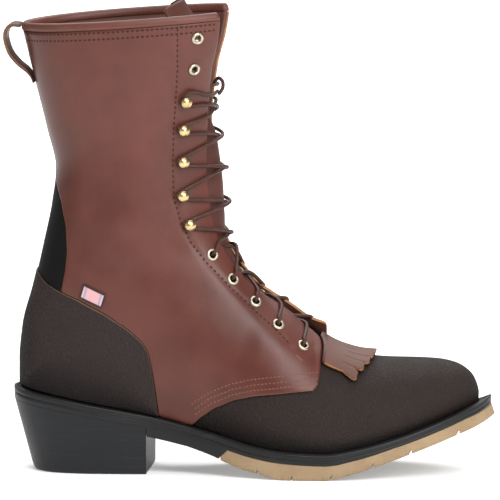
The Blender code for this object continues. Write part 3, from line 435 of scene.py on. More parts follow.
OUTSOLE_PROFILE = (
    (0.0, 0.0, 0.0, 0.8), (0.5, 0.0, 0.0, 0.8), (0.9, 0.0, 0.0, 0.8), (1.0, 0.25, 0.0, 0.8),
    (1.0, 0.05, 0.03, 0.78), (1.0, 0.0, 0.1, 0.72), (1.0, 0.0, 0.45, 0.45), (1.0, 0.0, 0.7, 0.25),
    (1.0, 0.0, 0.9, 0.1), (1.0, 0.2, 0.97, 0.0), (1.0, 0.7, 1.0, 0.0), (0.95, 0.7, 1.0, 0.0),
    (0.8, 0.0, 1.0, 0.0), (0.5, 0.0, 1.0, 0.0), (0.25, 0.0, 1.0, 0.0), (0.0, 0.0, 1.0, 0.0))
outsole = sole_plate("tan_outsole", OUTSOLE_INSET, outsole_x, OUTSOLE_PROFILE, OUTSOLE_STEPS,
                     outsole_top, tread)
dress(outsole, "tan_rubber", tan_rubber())
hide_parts("outsole")

# Midsole: one black rubber layer, thin under the forefoot and thick in the shank behind it.
# It is cemented under the welt, and its edge is ground smooth and slightly round.
MIDSOLE_INSET = 0.15
MIDSOLE_STEPS = 1200


def shade(tint, share):
    """A colour made darker or paler."""
    return tuple(share * c for c in tint)


def black_rubber(name, grain, tint, roughness):
    finish = Finish(name)
    cloud = finish.noise(70.0, 4.0)
    speck = finish.noise(grain, 2.0)
    scuff = finish.noise(24.0, 5.0, finish.stretched((1.0, 1.0, 3.0))).step(0.58, 0.75)
    colour = cloud.colour(shade(tint, 0.8), shade(tint, 1.25))
    return finish.surface({
        "Base Color": (scuff * 0.25).colour(colour, (0.040, 0.038, 0.037)), "Specular IOR Level": 0.3,
        "Roughness": cloud * 0.16 + scuff * 0.12 + roughness - 0.08,
        "Normal": finish.bump(speck, 0.18, 0.0003)})


def whole_length(share):
    """Length positions from heel to toe, closer at both ends."""
    low = SOLE_PLAN[0, 0]
    high = SOLE_PLAN[-1, 0]
    return low + (high - low) * (1 - np.cos(share * math.pi)) / 2


MIDSOLE_PROFILE = (
    (0.0, 0.0, 0.0, 1.0), (0.6, 0.0, 0.0, 1.0), (1.0, 0.15, 0.0, 1.0), (1.0, 0.0, 0.06, 1.0),
    (1.0, 0.0, 0.5, 1.0), (1.0, 0.0, 0.94, 1.0), (1.0, 0.15, 1.0, 1.0), (0.6, 0.0, 1.0, 1.0),
    (0.0, 0.0, 1.0, 1.0))
midsole = sole_plate("black_midsole", MIDSOLE_INSET, whole_length, MIDSOLE_PROFILE, MIDSOLE_STEPS,
                     midsole_top, midsole_bottom)
sole_black = black_rubber("sole_edge_black", 700.0, (0.009, 0.0088, 0.0090), 0.42)
dress(midsole, "black_rubber", sole_black)
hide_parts("midsole")

# Welt: a black moulded strip sewn round the whole boot between the upper and the midsole.
# It has a rounded edge, a stitch groove on top and a low storm lip against the upper.
FEATHER_INSET = np.array((
    (-150.0, 6.0), (-60.0, 6.3), (40.0, 6.5), (90.0, 7.5), (125.0, 9.0), (150.0, 10.6)))
WELT_INSET = np.array(((-150.0, 9.8), (40.0, 10.3), (90.0, 11.2), (155.0, 11.4)))
PLAN_STEPS = 1600
WELT_STEPS = 900
# Across the welt: share of the way from the edge to the upper, further way in, height over the welt's top
WELT_PROFILE = (
    (0.0, 0.1, -3.42), (0.0, 0.02, -3.35), (0.0, 0.0, -2.8), (0.0, 0.0, -0.9), (0.0, 0.15, -0.35),
    (0.0, 0.6, -0.05), (0.0, 1.2, 0.0), (0.38, 0.0, 0.0), (0.46, 0.0, -0.45), (0.54, 0.0, -0.5),
    (0.62, 0.0, -0.1), (0.7, 0.0, 0.35), (0.8, 0.0, 0.6), (0.87, 0.0, 0.5), (0.92, 0.0, 0.05),
    (1.2, 0.0, -0.1), (1.35, 0.0, -2.8))


def feather_inset(x):
    return smooth(FEATHER_INSET, x)


def welt_shape(u, v):
    points = np.zeros((len(u), 3))
    row = np.rint(v * len(WELT_PROFILE)).astype(int) % len(WELT_PROFILE)
    lateral, share_x = round_plan(u)
    index = np.arange(PLAN_STEPS + 1)
    for k, (share, further, height) in enumerate(WELT_PROFILE):
        def way_in(x):
            return share * feather_inset(x) + further + max(1 - share, 0) * toe_setback(x)
        edges = plan_edges(way_in, PLAN_STEPS + 1)
        for edge, on_edge in ((edges[0], lateral), (edges[1], ~lateral)):
            spot = np.flatnonzero((row == k) & on_edge)
            x = np.interp(share_x[spot] * PLAN_STEPS, index, edge[0])
            y = np.interp(share_x[spot] * PLAN_STEPS, index, edge[1])
            points[spot] = np.column_stack((x, y, welt_top(x) + height))
    return points


welt = laid_grid("storm_welt", WELT_STEPS, len(WELT_PROFILE), welt_shape)
dress(welt, "black_rubber", sole_black)
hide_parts("welt")

# Heel: a black moulded block under the rear of the midsole, leaning in towards its foot.
# Its walls are buffed, which leaves fine level lines, and its foot has a rounded rim.
HEEL_BREAST = -63.0
HEEL_INSET = 0.2
HEEL_BACK_TAPER = 0.144
HEEL_SIDE_TAPER = 0.09
HEEL_LEVELS = (0.0, 0.012, 0.03, 0.1, 0.25, 0.5, 0.75, 0.9, 0.95, 0.975, 0.992, 1.0)
HEEL_ROUND = (0.1, 0.03, 0.0, 0.0, 0.0, 0.0, 0.0, 0.0, 0.15, 0.5, 1.1, 2.2)
HEEL_HALF = 33.0
BREAST_SHARE = 0.16
BREAST_ROUND = 0.4
HEEL_GRID = (500, 44)


def heel_black():
    finish = Finish("heel_black")
    cloud = finish.noise(60.0, 4.0)
    drift = finish.noise(20.0, 3.0)
    line = (finish.axis("Z") * 5200.0 + drift * 9.0).sine()
    lines = finish.noise(520.0, 3.0, finish.stretched((0.05, 0.05, 1.0)))
    colour = cloud.colour((0.006, 0.0065, 0.0078), (0.011, 0.012, 0.0145))
    return finish.surface({
        "Base Color": (lines.step(0.5, 0.8) * 0.4).colour(colour, (0.020, 0.021, 0.024)),
        "Roughness": cloud * 0.15 + 0.4, "Specular IOR Level": 0.3,
        "Normal": finish.bump(line * 0.3 + lines, 0.22, 0.0003)})


heel_edges = plan_edges(HEEL_INSET, PLAN_STEPS + 1)


def heel_shape(u, v):
    heel_back = heel_edges[0][0].min()
    level_at = np.linspace(0, 1, len(HEEL_LEVELS))
    level = np.interp(v, level_at, HEEL_LEVELS)
    rim = np.interp(v, level_at, HEEL_ROUND)
    wall = (1 - BREAST_SHARE) / 2
    lateral = u < wall
    medial = u > 1 - wall
    breast = ~lateral & ~medial
    turn = np.where(lateral, u / wall, np.where(medial, (1 - u) / wall, 1.0))
    x = HEEL_BREAST + (heel_back - HEEL_BREAST) * np.cos(turn * math.pi / 2)
    outer, inner, middle = across_plan(heel_edges, x)
    across = np.clip((u - wall) / BREAST_SHARE, 0, 1)
    y = np.where(lateral, outer, np.where(medial, inner, outer + (inner - outer) * across))
    shorter = 1 - HEEL_BACK_TAPER * level - rim / abs(heel_back - HEEL_BREAST)
    narrower = 1 - HEEL_SIDE_TAPER * level - rim / HEEL_HALF
    top = midsole_bottom(np.minimum(x, HEEL_BREAST)) - SOLE_SEAT
    front = HEEL_BREAST - np.where(breast | (turn > 0.999), rim * BREAST_ROUND, 0.0)
    return np.column_stack((front + (x - HEEL_BREAST) * shorter, middle + (y - middle) * narrower,
                            top * (1 - level)))


heel = laid_grid("heel_block", *HEEL_GRID, heel_shape)
dress(heel, "black_rubber", heel_black())
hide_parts("heel")

# Insole: a thin leather-faced board that closes the boot underneath, inside the welt.
# It is stitched through to the welt and shows only when one looks down the shaft.
INSOLE_RISE = 0.1
INSOLE_GAP = 0.6
INSOLE_SPREAD = 2.4
INSOLE_GRID = (300, 13)


def lining_leather():
    finish = Finish("lining_leather")
    cloud = finish.noise(40.0, 4.0)
    pores = finish.noise(1400.0, 2.0)
    colour = cloud.colour((0.070, 0.024, 0.016), (0.12, 0.043, 0.028))
    return finish.surface({
        "Base Color": colour, "Roughness": cloud * 0.1 + 0.6,
        "Normal": finish.bump(pores + cloud, 0.2, 0.0003)})


def insole_inset(x):
    return smooth(WELT_INSET, x) + INSOLE_GAP


def insole_top(x):
    return welt_top(x) + INSOLE_RISE


def insole_bottom(x):
    return midsole_top(x) + SEAT


insole_edges = plan_edges(insole_inset)


def insole_shape(u, v):
    lateral, share = round_plan(u)
    low = insole_edges[0][0].min()
    high = insole_edges[0][0].max()
    x = low + (high - low) * (1 - np.cos(share * math.pi)) / 2
    outer, inner, middle = across_plan(insole_edges, x)
    reach = np.clip(np.minimum(v, 1 - v) * INSOLE_SPREAD, 0, 1)
    y = middle + (np.where(lateral, outer, inner) - middle) * reach
    top = v < 0.5
    return np.column_stack((x, y, np.where(top, insole_top(x), insole_bottom(x))))


insole = laid_grid("insole_board", *INSOLE_GRID, insole_shape)
lining = lining_leather()
dress(insole, "lining", lining)
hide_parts("insole")

# Upper: one hollow wall from toe to collar. The vamp that shows in front is dark, tumbled and pebbled.
# It is lasted over the insole, and each row of its form is a straight cut in the side view.
COLUMNS = ("front_x", "front_z", "back_x", "back_z", "ridge", "seam", "peak", "front", "rear", "gap")
SECTIONS = np.array((
    (145.2, 50.5, 145.0, 44.0, 8.0, 8.0, 0.60, 2.0, 2.2, 0.0),
    (144.2, 54.5, 143.6, 43.3, 8.0, 8.0, 0.65, 2.0, 2.2, 0.0),
    (141.5, 60.5, 140.0, 42.0, 7.8, 7.8, 0.70, 2.0, 2.2, 0.0),
    (137.0, 65.2, 134.0, 39.3, 7.5, 7.0, 0.74, 2.0, 2.2, 0.0),
    (130.0, 69.0, 126.0, 35.5, 7.0, 6.0, 0.76, 2.0, 2.2, 0.0),
    (119.0, 71.4, 115.0, 30.5, 6.0, 5.0, 0.78, 2.0, 2.2, 0.0),
    (104.0, 72.2, 101.0, 25.2, 4.5, 4.0, 0.79, 2.0, 2.2, 0.0),
    (88.0, 72.5, 86.0, 21.2, 3.2, 3.0, 0.79, 2.0, 2.2, 0.0),
    (72.0, 74.0, 71.0, 18.4, 2.2, 1.0, 0.79, 2.0, 2.2, 0.0),
    (58.5, 77.5, 58.5, 16.3, 1.2, 0.0, 0.78, 2.0, 2.2, 0.0),
    (47.0, 83.0, 47.0, 16.0, 0.5, 0.0, 0.77, 2.0, 2.2, 0.0),
    (37.0, 91.0, 34.0, 16.6, 0.0, 0.0, 0.75, 2.0, 2.2, 7.0),
    (25.0, 102.5, 16.0, 18.4, 0.0, 0.0, 0.72, 2.0, 2.2, 10.0),
    (11.5, 114.0, -6.0, 23.2, 0.0, 0.0, 0.68, 2.0, 2.2, 12.5),
    (0.0, 126.0, -32.0, 30.2, 0.0, -1.0, 0.64, 2.0, 2.2, 14.5),
    (-7.0, 137.0, -60.0, 37.2, 0.0, -2.0, 0.60, 2.0, 2.2, 15.5),
    (-12.0, 148.0, -88.0, 42.3, 0.0, -3.0, 0.56, 2.0, 2.2, 16.0),
    (-15.0, 157.0, -110.0, 46.4, 0.0, -3.0, 0.53, 2.0, 2.2, 16.5),
    (-16.5, 164.0, -128.0, 49.7, 0.0, -3.0, 0.51, 2.0, 2.2, 16.5),
    (-17.5, 170.5, -137.0, 51.3, 0.0, -3.0, 0.50, 2.0, 2.2, 16.5),
    (-18.3, 176.5, -141.6, 52.1, 0.0, -3.0, 0.50, 2.0, 2.2, 16.5),
    (-19.0, 182.5, -144.0, 53.0, 0.0, -3.0, 0.50, 2.0, 2.2, 16.5),
    (-20.0, 191.0, -144.0, 70.0, 0.0, -3.0, 0.50, 2.0, 2.2, 16.5),
    (-21.0, 200.0, -142.0, 92.0, 0.0, -2.6, 0.50, 2.0, 2.2, 16.2),
    (-21.8, 209.5, -135.4, 117.0, 0.0, -2.0, 0.50, 2.0, 2.2, 15.8),
    (-22.2, 220.0, -129.7, 142.0, 0.0, -1.4, 0.50, 2.05, 2.2, 15.5),
    (-22.0, 232.0, -123.9, 170.0, 0.0, -0.8, 0.50, 2.1, 2.15, 16.2),
    (-20.0, 246.0, -121.4, 192.0, 0.0, -0.4, 0.50, 2.15, 2.1, 18.2),
    (-16.0, 262.0, -127.1, 218.0, 0.0, -0.2, 0.50, 2.2, 2.1, 22.0),
    (-8.5, 278.0, -135.2, 250.5, 0.0, 0.0, 0.50, 2.25, 2.1, 27.0),
    (-2.4, 290.2, -142.2, 279.6, 0.0, 0.0, 0.50, 2.3, 2.1, 31.5)))
ROWS = np.arange(len(SECTIONS), dtype=float)
COLLAR_ROW = ROWS[-1]
HEEL_ROW = 21.0
LOWER_EDGE = 0.4
WALL = 1.8
SEAM_WELD = 0.00002
SIDES = (("lateral", -1), ("medial", 1))
SWELL = np.array((
    (0.0, 0.0, 0.0), (1.0, 0.3, 0.3), (2.0, 0.6, 0.6), (3.0, 0.9, 0.9), (4.0, 1.2, 1.2), (5.0, 1.4, 1.4),
    (9.0, 1.5, 1.5), (11.0, 1.8, 2.4), (12.0, 2.2, 3.5), (13.0, 3.0, 5.5), (15.0, 5.0, 9.0)))
GIRTH = np.array((
    (12.0, -44.0, 36.0), (13.0, -41.0, 33.0), (14.0, -38.2, 32.6), (15.0, -36.8, 33.2), (16.0, -36.3, 34.0),
    (18.0, -36.4, 35.0), (21.0, -36.4, 35.6), (23.0, -36.1, 35.5), (25.0, -35.6, 35.4), (26.0, -35.9, 35.8),
    (27.0, -37.2, 37.2), (28.0, -40.4, 40.4), (29.0, -43.8, 43.8), (30.0, -46.0, 46.0)))
# Middle line of the boot: height where the shaft starts, its length position, height in the foot
SHAFT_START = 110.0
SHAFT_MIDDLE = -75.0
FOOT_MIDDLE = 45.0
GIRTH_START = 12.5
GIRTH_FULL = 14.5
# Line of the eyestay stitching in the side view: length position, height
EYESTAY_LINE = (
    (-42.2, 286.0), (-43.0, 258.7), (-46.1, 220.5), (-46.7, 194.8), (-46.1, 175.7), (-41.7, 159.7),
    (-35.4, 146.9), (-25.9, 134.2), (-10.0, 117.2), (5.9, 102.6), (18.4, 92.0), (28.0, 82.5))
# Soft creases in the side view: length position and height of each point, rise of the leather, half width
CREASES = (
    (EYESTAY_LINE, -0.35, 1.8),
    (((-40.0, 168.0), (-36.5, 153.7), (-28.6, 136.9), (-3.1, 106.5), (16.3, 88.0), (33.0, 76.0)), 0.7, 8.0),
    (((-74.0, 150.0), (-52.0, 146.0), (-34.0, 139.0)), -0.35, 7.0),
    (((-88.0, 134.0), (-60.0, 128.0), (-30.0, 112.0)), -0.3, 9.0),
    (((-96.0, 158.0), (-78.0, 163.0), (-62.0, 160.0)), 0.3, 8.0),
    (((41.0, 81.0), (43.6, 74.0), (44.0, 58.0)), -0.3, 1.0),
    (((60.0, 44.0), (66.0, 54.0), (70.0, 66.0)), -0.3, 5.0),
    (((52.0, 38.0), (55.0, 46.0), (57.0, 54.0)), -0.22, 4.0),
    (((78.0, 40.0), (82.0, 52.0), (85.0, 64.0)), 0.2, 6.0))
FEATHER = plan_edges(feather_inset)


def section(s):
    """Values of the section table at s, a section number that may fall between rows."""
    s = np.asarray(s, float)
    values = {}
    for index, name in enumerate(COLUMNS):
        values[name] = smooth(np.column_stack((ROWS, SECTIONS[:, index])), s)
    on_sole = s < HEEL_ROW
    values["back_z"] = np.where(on_sole, welt_top(values["back_x"]) + LOWER_EDGE, values["back_z"])
    for name, edge in zip(("end_out", "end_in"), FEATHER):
        values[name] = np.where(on_sole, np.interp(values["back_x"], *edge), values["seam"])
    return values


def arcs(s, side):
    """Widths and arc limits of a section on one side."""
    c = section(s)
    end = c["end_out"] if side < 0 else c["end_in"]
    column = 1 if side < 0 else 2
    middle = (c["end_out"] + c["end_in"]) / 2
    share = np.clip((np.asarray(s, float) - GIRTH_START) / (GIRTH_FULL - GIRTH_START), 0, 1)
    share = share * share * (3 - 2 * share)
    widest = (1 - share) * (end + side * smooth(SWELL, s, column)) + share * smooth(GIRTH, s, column)
    c["half_front"] = np.maximum(side * (widest - c["ridge"]), 1e-4)
    c["half_rear"] = np.maximum(side * (widest - middle), 1e-4)
    c["middle"] = middle
    kept = np.clip(side * (end - middle) / c["half_rear"], 0.0, 0.9999)
    c["first"] = np.arcsin(np.clip(c["gap"] / c["half_front"], 0.0, 0.99) ** (c["front"] / 2))
    c["last"] = np.arccos(kept ** (c["rear"] / 2))
    return c


def surface(s, t, side):
    """Point of the upper's outer face and its place along the cut. t: 0 throat, 0.5 widest, 1 lower end."""
    t = np.asarray(t, float)
    c = arcs(s, side)
    ahead = c["first"] + (math.pi / 2 - c["first"]) * np.clip(2 * t, 0, 1)
    behind = c["last"] * np.clip(2 * t - 1, 0, 1)
    cos_ahead = np.clip(np.cos(ahead), 0, 1)
    q_front = c["peak"] * (1 - cos_ahead ** (2 / c["front"]))
    y_front = c["ridge"] + side * c["half_front"] * np.sin(ahead) ** (2 / c["front"])
    q_rear = c["peak"] + (1 - c["peak"]) * (np.sin(behind) / np.sin(c["last"])) ** (2 / c["rear"])
    y_rear = c["middle"] + side * c["half_rear"] * np.clip(np.cos(behind), 0, 1) ** (2 / c["rear"])
    is_front = t <= 0.5
    q = np.where(is_front, q_front, q_rear)
    y = np.where(is_front, y_front, y_rear)
    x = c["front_x"] + q * (c["back_x"] - c["front_x"])
    z = c["front_z"] + q * (c["back_z"] - c["front_z"])
    return np.stack(np.broadcast_arrays(x, y, z), axis=-1), q


def unit(vectors):
    return vectors / np.maximum(np.linalg.norm(vectors, axis=-1, keepdims=True), 1e-9)


def outward(s, t, side):
    """Outward direction of the upper's face."""
    s = np.asarray(s, float)
    t = np.asarray(t, float)
    small = 0.004
    ahead = np.minimum(s + small, COLLAR_ROW)
    along = surface(ahead, t, side)[0] - surface(np.maximum(s - small, 0), t, side)[0]
    around = surface(s, np.minimum(t + small, 1), side)[0] - surface(s, np.maximum(t - small, 0), side)[0]
    return unit(np.cross(along, around) * -side)


def away_from(line, x, z, carried=False):
    """Side-view distance from a line, positive on its left; a carried line runs on past its ends."""
    best = np.full(np.shape(x), 1e9)
    signed = np.zeros(np.shape(x))
    last = len(line) - 2
    for k, (start, end) in enumerate(zip(line, line[1:])):
        run = np.subtract(end, start)
        length = math.hypot(*run)
        along = ((x - start[0]) * run[0] + (z - start[1]) * run[1]) / length ** 2
        low = -1e3 if carried and k == 0 else 0.0
        high = 1e3 if carried and k == last else 1.0
        along = np.clip(along, low, high)
        away = np.hypot(x - start[0] - along * run[0], z - start[1] - along * run[1])
        hand = np.sign(run[0] * (z - start[1]) - run[1] * (x - start[0]))
        signed = np.where(away < best, hand * away, signed)
        best = np.minimum(away, best)
    return signed


def relief(points):
    """Rise of the leather over its plain form: the soft creases."""
    rise = np.zeros(len(points))
    for line, height, half in CREASES:
        distance = away_from(line, points[:, 0], points[:, 2])
        rise += height * np.exp(-(distance / half) ** 2)
    return rise


def lifted(s, t, side, lift):
    """Points of a layer that lies on the upper, lifted off it, with the creases in."""
    plain = surface(s, t, side)[0]
    return plain + (lift + relief(plain))[:, None] * outward(s, t, side)


def pick(piece):
    """Select one piece alone and make it the active one."""
    bpy.ops.object.select_all(action="DESELECT")
    piece.select_set(True)
    bpy.context.view_layer.objects.active = piece


def harden(piece, kind, **settings):
    """Add a modifier with its settings and apply it."""
    pick(piece)
    made = piece.modifiers.new(kind.lower(), kind)
    for key, value in settings.items():
        setattr(made, key, value)
    bpy.ops.object.modifier_apply(modifier=made.name)


def from_inside(points):
    """Rough outward direction: away from the boot's middle line."""
    in_shaft = points[:, 2] > SHAFT_START
    spine_x = np.where(in_shaft, SHAFT_MIDDLE, points[:, 0])
    spine_z = np.where(in_shaft, points[:, 2], FOOT_MIDDLE)
    return points - np.column_stack((spine_x, np.zeros(len(points)), spine_z))


def thicken(piece, thick, inside=1, rim=2):
    """Give a sheet its thickness inwards; its inside and its cut edges take further materials."""
    harden(piece, "SOLIDIFY", thickness=thick * MM, offset=-1.0, material_offset=inside,
           material_offset_rim=rim)


def join(pieces, name=None):
    """Join pieces into the first, weld their shared edges and give them a name."""
    bpy.ops.object.select_all(action="DESELECT")
    for piece in pieces:
        piece.select_set(True)
    joined = pieces[0]
    bpy.context.view_layer.objects.active = joined
    bpy.ops.object.join()
    bpy.ops.object.mode_set(mode="EDIT")
    bpy.ops.mesh.select_all(action="SELECT")
    bpy.ops.mesh.remove_doubles(threshold=SEAM_WELD)
    bpy.ops.object.mode_set(mode="OBJECT")
    if name:
        joined.name = name
        joined.data.name = name
    return joined


def both_halves(name, half):
    """Piece of an outer and an inner half, each made by half(name, side)."""
    return join([half(f"{name}_{side_name}", side) for side_name, side in SIDES], name)


def pebbled_leather(name, tint, scale, foot, rim):
    """Dark tumbled leather: painted shade darkens it from the share foot of the sheet on, and it is raw up to
    the share rim.
    """
    finish = Finish(name)
    bent = finish.noise(60.0, 2.0)
    pull = finish.stretched((1.0, 1.0, 0.62))
    waves = finish.node("ShaderNodeTexNoise", {}, {"Vector": finish.place(), "Scale": 90.0}, 1)
    warped = finish.node("ShaderNodeVectorMath", {"operation": "MULTIPLY_ADD"},
                         {0: waves, 1: (0.004, 0.004, 0.004), 2: pull})
    pebble = finish.cells(scale, warped).step(0.0, 0.32)
    small = finish.cells(scale * 2.3, warped).step(0.0, 0.4)
    pores = finish.noise(2200.0, 2.0)
    cloud = finish.noise(26.0, 4.0)
    grain = pebble * 0.7 + small * 0.3
    colour = (cloud * 0.6 + grain * 0.4).colour(shade(tint, 0.75), shade(tint, 1.25))
    across = finish.uv("X")
    # Painted shade: from the share foot on, the sheet darkens towards its foot, where the leather turns in
    # and gets less light.
    painted_shade_foot = across.step(foot, 1.0).colour(colour, shade(tint, 0.25))
    return finish.surface({
        "Base Color": across.step(rim, 0.6 * rim).colour(painted_shade_foot, (0.115, 0.072, 0.050)),
        "Roughness": 0.68 - grain * 0.14 + bent * 0.06, "Specular IOR Level": 0.14,
        "Normal": finish.bump(grain + pores * 0.15 + cloud * 0.4, 0.6, 0.0007)})


def raw_edge(name, dark, pale):
    finish = Finish(name)
    cloud = finish.noise(160.0, 4.0)
    fibre = finish.noise(1500.0, 3.0)
    colour = (cloud * 0.6 + fibre * 0.4).step(0.25, 0.75).colour(dark, pale)
    return finish.surface({
        "Base Color": colour, "Roughness": fibre * 0.2 + 0.6, "Normal": finish.bump(fibre, 0.3, 0.0003)})


# Share of the way from toe to collar, section number: closer rows at the toe
UPPER_S = ((0.0, 0.25, 0.62, 1.0), (0.0, 3.0, 12.5, COLLAR_ROW))
UPPER_GRID = (56, 190)


def upper_half(name, side):
    def shape(u, v):
        return lifted(np.interp(v, *UPPER_S), u, side, 0.0)
    return laid_grid(name, *UPPER_GRID, shape, from_inside)


upper = both_halves("vamp_and_lining", upper_half)
# The vamp has painted shade from just past its widest point down to the welt.
vamp_leather = pebbled_leather("vamp_leather", (0.024, 0.0168, 0.0148), 540.0, 0.55, 0.0001)
edge_raw = raw_edge("raw_leather_edge", (0.22, 0.085, 0.028), (0.42, 0.19, 0.065))
dress(upper, "pebbled_leather", vamp_leather, lining)
thicken(upper, WALL, rim=1)
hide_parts("upper")

# Quarters: two smooth brown sheets, one a side, that make the shaft and meet over the instep as the eyestay.
# Each is cut from one hide, stitched over the vamp and the counter, and left raw along the throat.
QUARTER_THICK = 1.6
OVERLAY_EDGE = 1.8
SEAM_GAP = 0.1
THROAT_MARGIN = 1.5
QUARTER_ROW = 10.0
QUARTER_GRID = (110, 250)
VAMP_SEAM = (
    (46.5, 55.9), (29.5, 54.9), (7.0, 52.4), (-5.9, 49.4), (-19.0, 43.9), (-28.7, 37.1), (-36.0, 30.0))
COUNTER_SEAM = (
    (-54.6, 36.0), (-56.4, 51.1), (-58.8, 67.2), (-61.3, 78.7), (-65.1, 85.1), (-73.4, 92.6),
    (-89.4, 103.2), (-105.7, 111.5), (-117.7, 116.3), (-126.0, 120.5), (-132.0, 126.5))
BACKSTAY_EDGE = (
    (-118.0, 108.0), (-113.9, 129.0), (-112.6, 142.0), (-113.5, 157.4), (-117.2, 172.9), (-122.5, 188.0))
BACKSTAY_HALF = 7.5
# Rounded front end of the outer and of the inner quarter: place down its edge, section number
QUARTER_FRONT = np.array((
    (0.0, 10.7), (0.04, 10.42), (0.1, 10.19), (0.2, 10.05), (0.35, 10.0), (0.7, 10.0), (0.9, 10.06),
    (1.0, 10.3)))
INNER_FRONT = np.array((
    (0.0, 11.05), (0.03, 10.66), (0.08, 10.36), (0.16, 10.12), (0.3, 10.02), (0.7, 10.0), (0.9, 10.06),
    (1.0, 10.3)))
FRONT_FADE = 2.0
# Rise of the quarter's front corner off the tongue: on the outer side, on the inner side, and its reach
FLARES = (1.2, 9.0)
FLARE_ROWS = 0.9
FLARE_SHARE = 0.14
# Rise of the inner quarter's throat edge along the eyelets, its reach and the section where it ends
THROAT_RISE = 3.0
THROAT_SHARE = 0.07
THROAT_END = 19.5
THROAT_FADE = 2.5
# Rounding of a cut edge: share of the sheet's width, drop of its face
EDGE_SHARES = (0.0, 0.004, 0.012)
EDGE_DROPS = (0.22, 0.06, 0.0)


def over_vamp(points):
    """Positive above the seam where the quarter lies on the vamp."""
    return -away_from(VAMP_SEAM, points[..., 0], points[..., 2], carried=True)


def above_welt(points):
    """Positive where an overlay stays clear of the welt."""
    return points[..., 2] - welt_top(points[..., 0]) - OVERLAY_EDGE


def off_counter(points):
    """Positive in front of and above the counter."""
    return -away_from(COUNTER_SEAM, points[..., 0], points[..., 2], carried=True)


def on_backstay(s, points):
    """Positive on the backstay: wide over the heel and a narrow strip up the shaft."""
    wide = away_from(BACKSTAY_EDGE, points[..., 0], points[..., 2], carried=True)
    strip = BACKSTAY_HALF - np.abs(points[..., 1] - section(s)["seam"])
    return np.maximum(wide, strip)


def kept_span(side, keep, low, high):
    """Rows of an overlay between two sections, each with the first and last t where keep is positive."""
    rows = np.linspace(low, high, 481)
    t = np.linspace(0, 1, 501)
    s_grid, t_grid = np.meshgrid(rows, t, indexing="ij")
    value = keep(s_grid, surface(s_grid, t_grid, side)[0], side)
    inside = value >= 0
    row = np.arange(len(rows))
    start = inside.argmax(axis=1)
    left = ~inside & (np.arange(len(t)) > start[:, None])
    stop = np.where(left.any(axis=1), left.argmax(axis=1), len(t) - 1)
    before = np.maximum(start - 1, 0)
    share = np.clip(value[row, start] / np.maximum(value[row, start] - value[row, before], 1e-9), 0, 1)
    first = t[start] - share * (t[start] - t[before])
    ahead = stop - 1
    share = np.clip(value[row, ahead] / np.maximum(value[row, ahead] - value[row, stop], 1e-9), 0, 1)
    last = np.where(left.any(axis=1), t[ahead] + share * (t[stop] - t[ahead]), 1.0)
    used = inside.any(axis=1)
    return rows[used], first[used], last[used]


def even_rows(side, rows, first, last, count):
    """Section numbers spaced so that rows of a sheet lie about evenly apart on the leather."""
    share = np.linspace(0, 1, 9)
    t = first[:, None] + (last - first)[:, None] * share
    points = surface(np.broadcast_to(rows[:, None], t.shape), t, side)[0]
    step = np.linalg.norm(np.diff(points, axis=0), axis=2).max(axis=1)
    length = np.concatenate(([0.0], np.cumsum(step)))
    return np.interp(np.linspace(0, 1, count), length / length[-1], rows)


def throat_rise(s):
    return THROAT_RISE * np.clip((THROAT_END - s) / THROAT_FADE, 0, 1)


def overlay(name, side, keep, reach, lift, grid, front=None, flare=0.0):
    """Layer cut from the upper's own form between two sections, where keep is positive, with round edges."""
    columns, count = grid
    rows, first, last = kept_span(side, keep, *reach)
    spaced = even_rows(side, rows, first, last, count + 1)
    ends = (0.0, 1 / columns, 2 / columns)
    places = ends + tuple(1 - end for end in reversed(ends))
    shares = EDGE_SHARES + tuple(1 - share for share in reversed(EDGE_SHARES))

    def shape(u, v):
        across = np.interp(u, places, shares)
        s = np.interp(v, np.linspace(0, 1, count + 1), spaced)
        if front is not None:
            fade = np.clip(1 - (s - rows[0]) / FRONT_FADE, 0, 1)
            s = s + (smooth(front, across) - rows[0]) * fade
        low = np.interp(s, rows, first)
        high = np.interp(s, rows, last)
        drop = np.interp(np.minimum(across, 1 - across), EDGE_SHARES, EDGE_DROPS)
        drop = np.where((across > 0.5) & (high > 0.9999), 0.0, drop)
        if front is not None:
            drop = np.maximum(drop, np.interp(v * count, (0, 1, 2), EDGE_DROPS))
            drop = drop - flare * np.exp(-((s - rows[0]) / FLARE_ROWS) ** 2 - (across / FLARE_SHARE) ** 2)
            if side > 0:
                drop = drop - throat_rise(s) * np.exp(-(across / THROAT_SHARE) ** 2)
        return lifted(s, low + (high - low) * across, side, lift - drop)

    return laid_grid(name, columns, count, shape, from_inside)


def smooth_leather(name, tint, rough, shine=0.36, raw=2.0):
    """Smooth brown leather, raw from the share raw of the sheet on."""
    finish = Finish(name)
    across = finish.uv("X")
    cloud = finish.noise(13.0, 5.0)
    blotch = finish.noise(55.0, 5.0)
    pores = finish.cells(1500.0, feature="F1").step(0.0, 0.5)
    wrinkle = finish.noise(420.0, 4.0, finish.stretched((1.0, 1.0, 0.7)))
    long_crease = finish.noise(60.0, 3.0, finish.stretched((1.0, 1.0, 0.35)))
    mix = cloud * 0.6 + blotch * 0.4
    pale = (tint[0] * 1.32, tint[1] * 1.5, tint[2] * 1.58)
    colour = mix.step(0.15, 0.85).colour(shade(tint, 0.66), pale)
    return finish.surface({
        "Base Color": across.step(raw - 0.003, raw).colour(colour, (0.150, 0.068, 0.030)),
        "Roughness": blotch * 0.14 + rough - 0.07, "Specular IOR Level": shine,
        "Normal": finish.bump(wrinkle * 0.5 + pores * 0.16 + long_crease * 1.2, 0.16, 0.0006)})


def quarter_keep(s, points, side):
    keeps = (side * (points[..., 1] - section(s)["ridge"]) - THROAT_MARGIN, over_vamp(points),
             above_welt(points), off_counter(points) - SEAM_GAP, -on_backstay(s, points) - SEAM_GAP)
    return np.minimum.reduce(keeps)


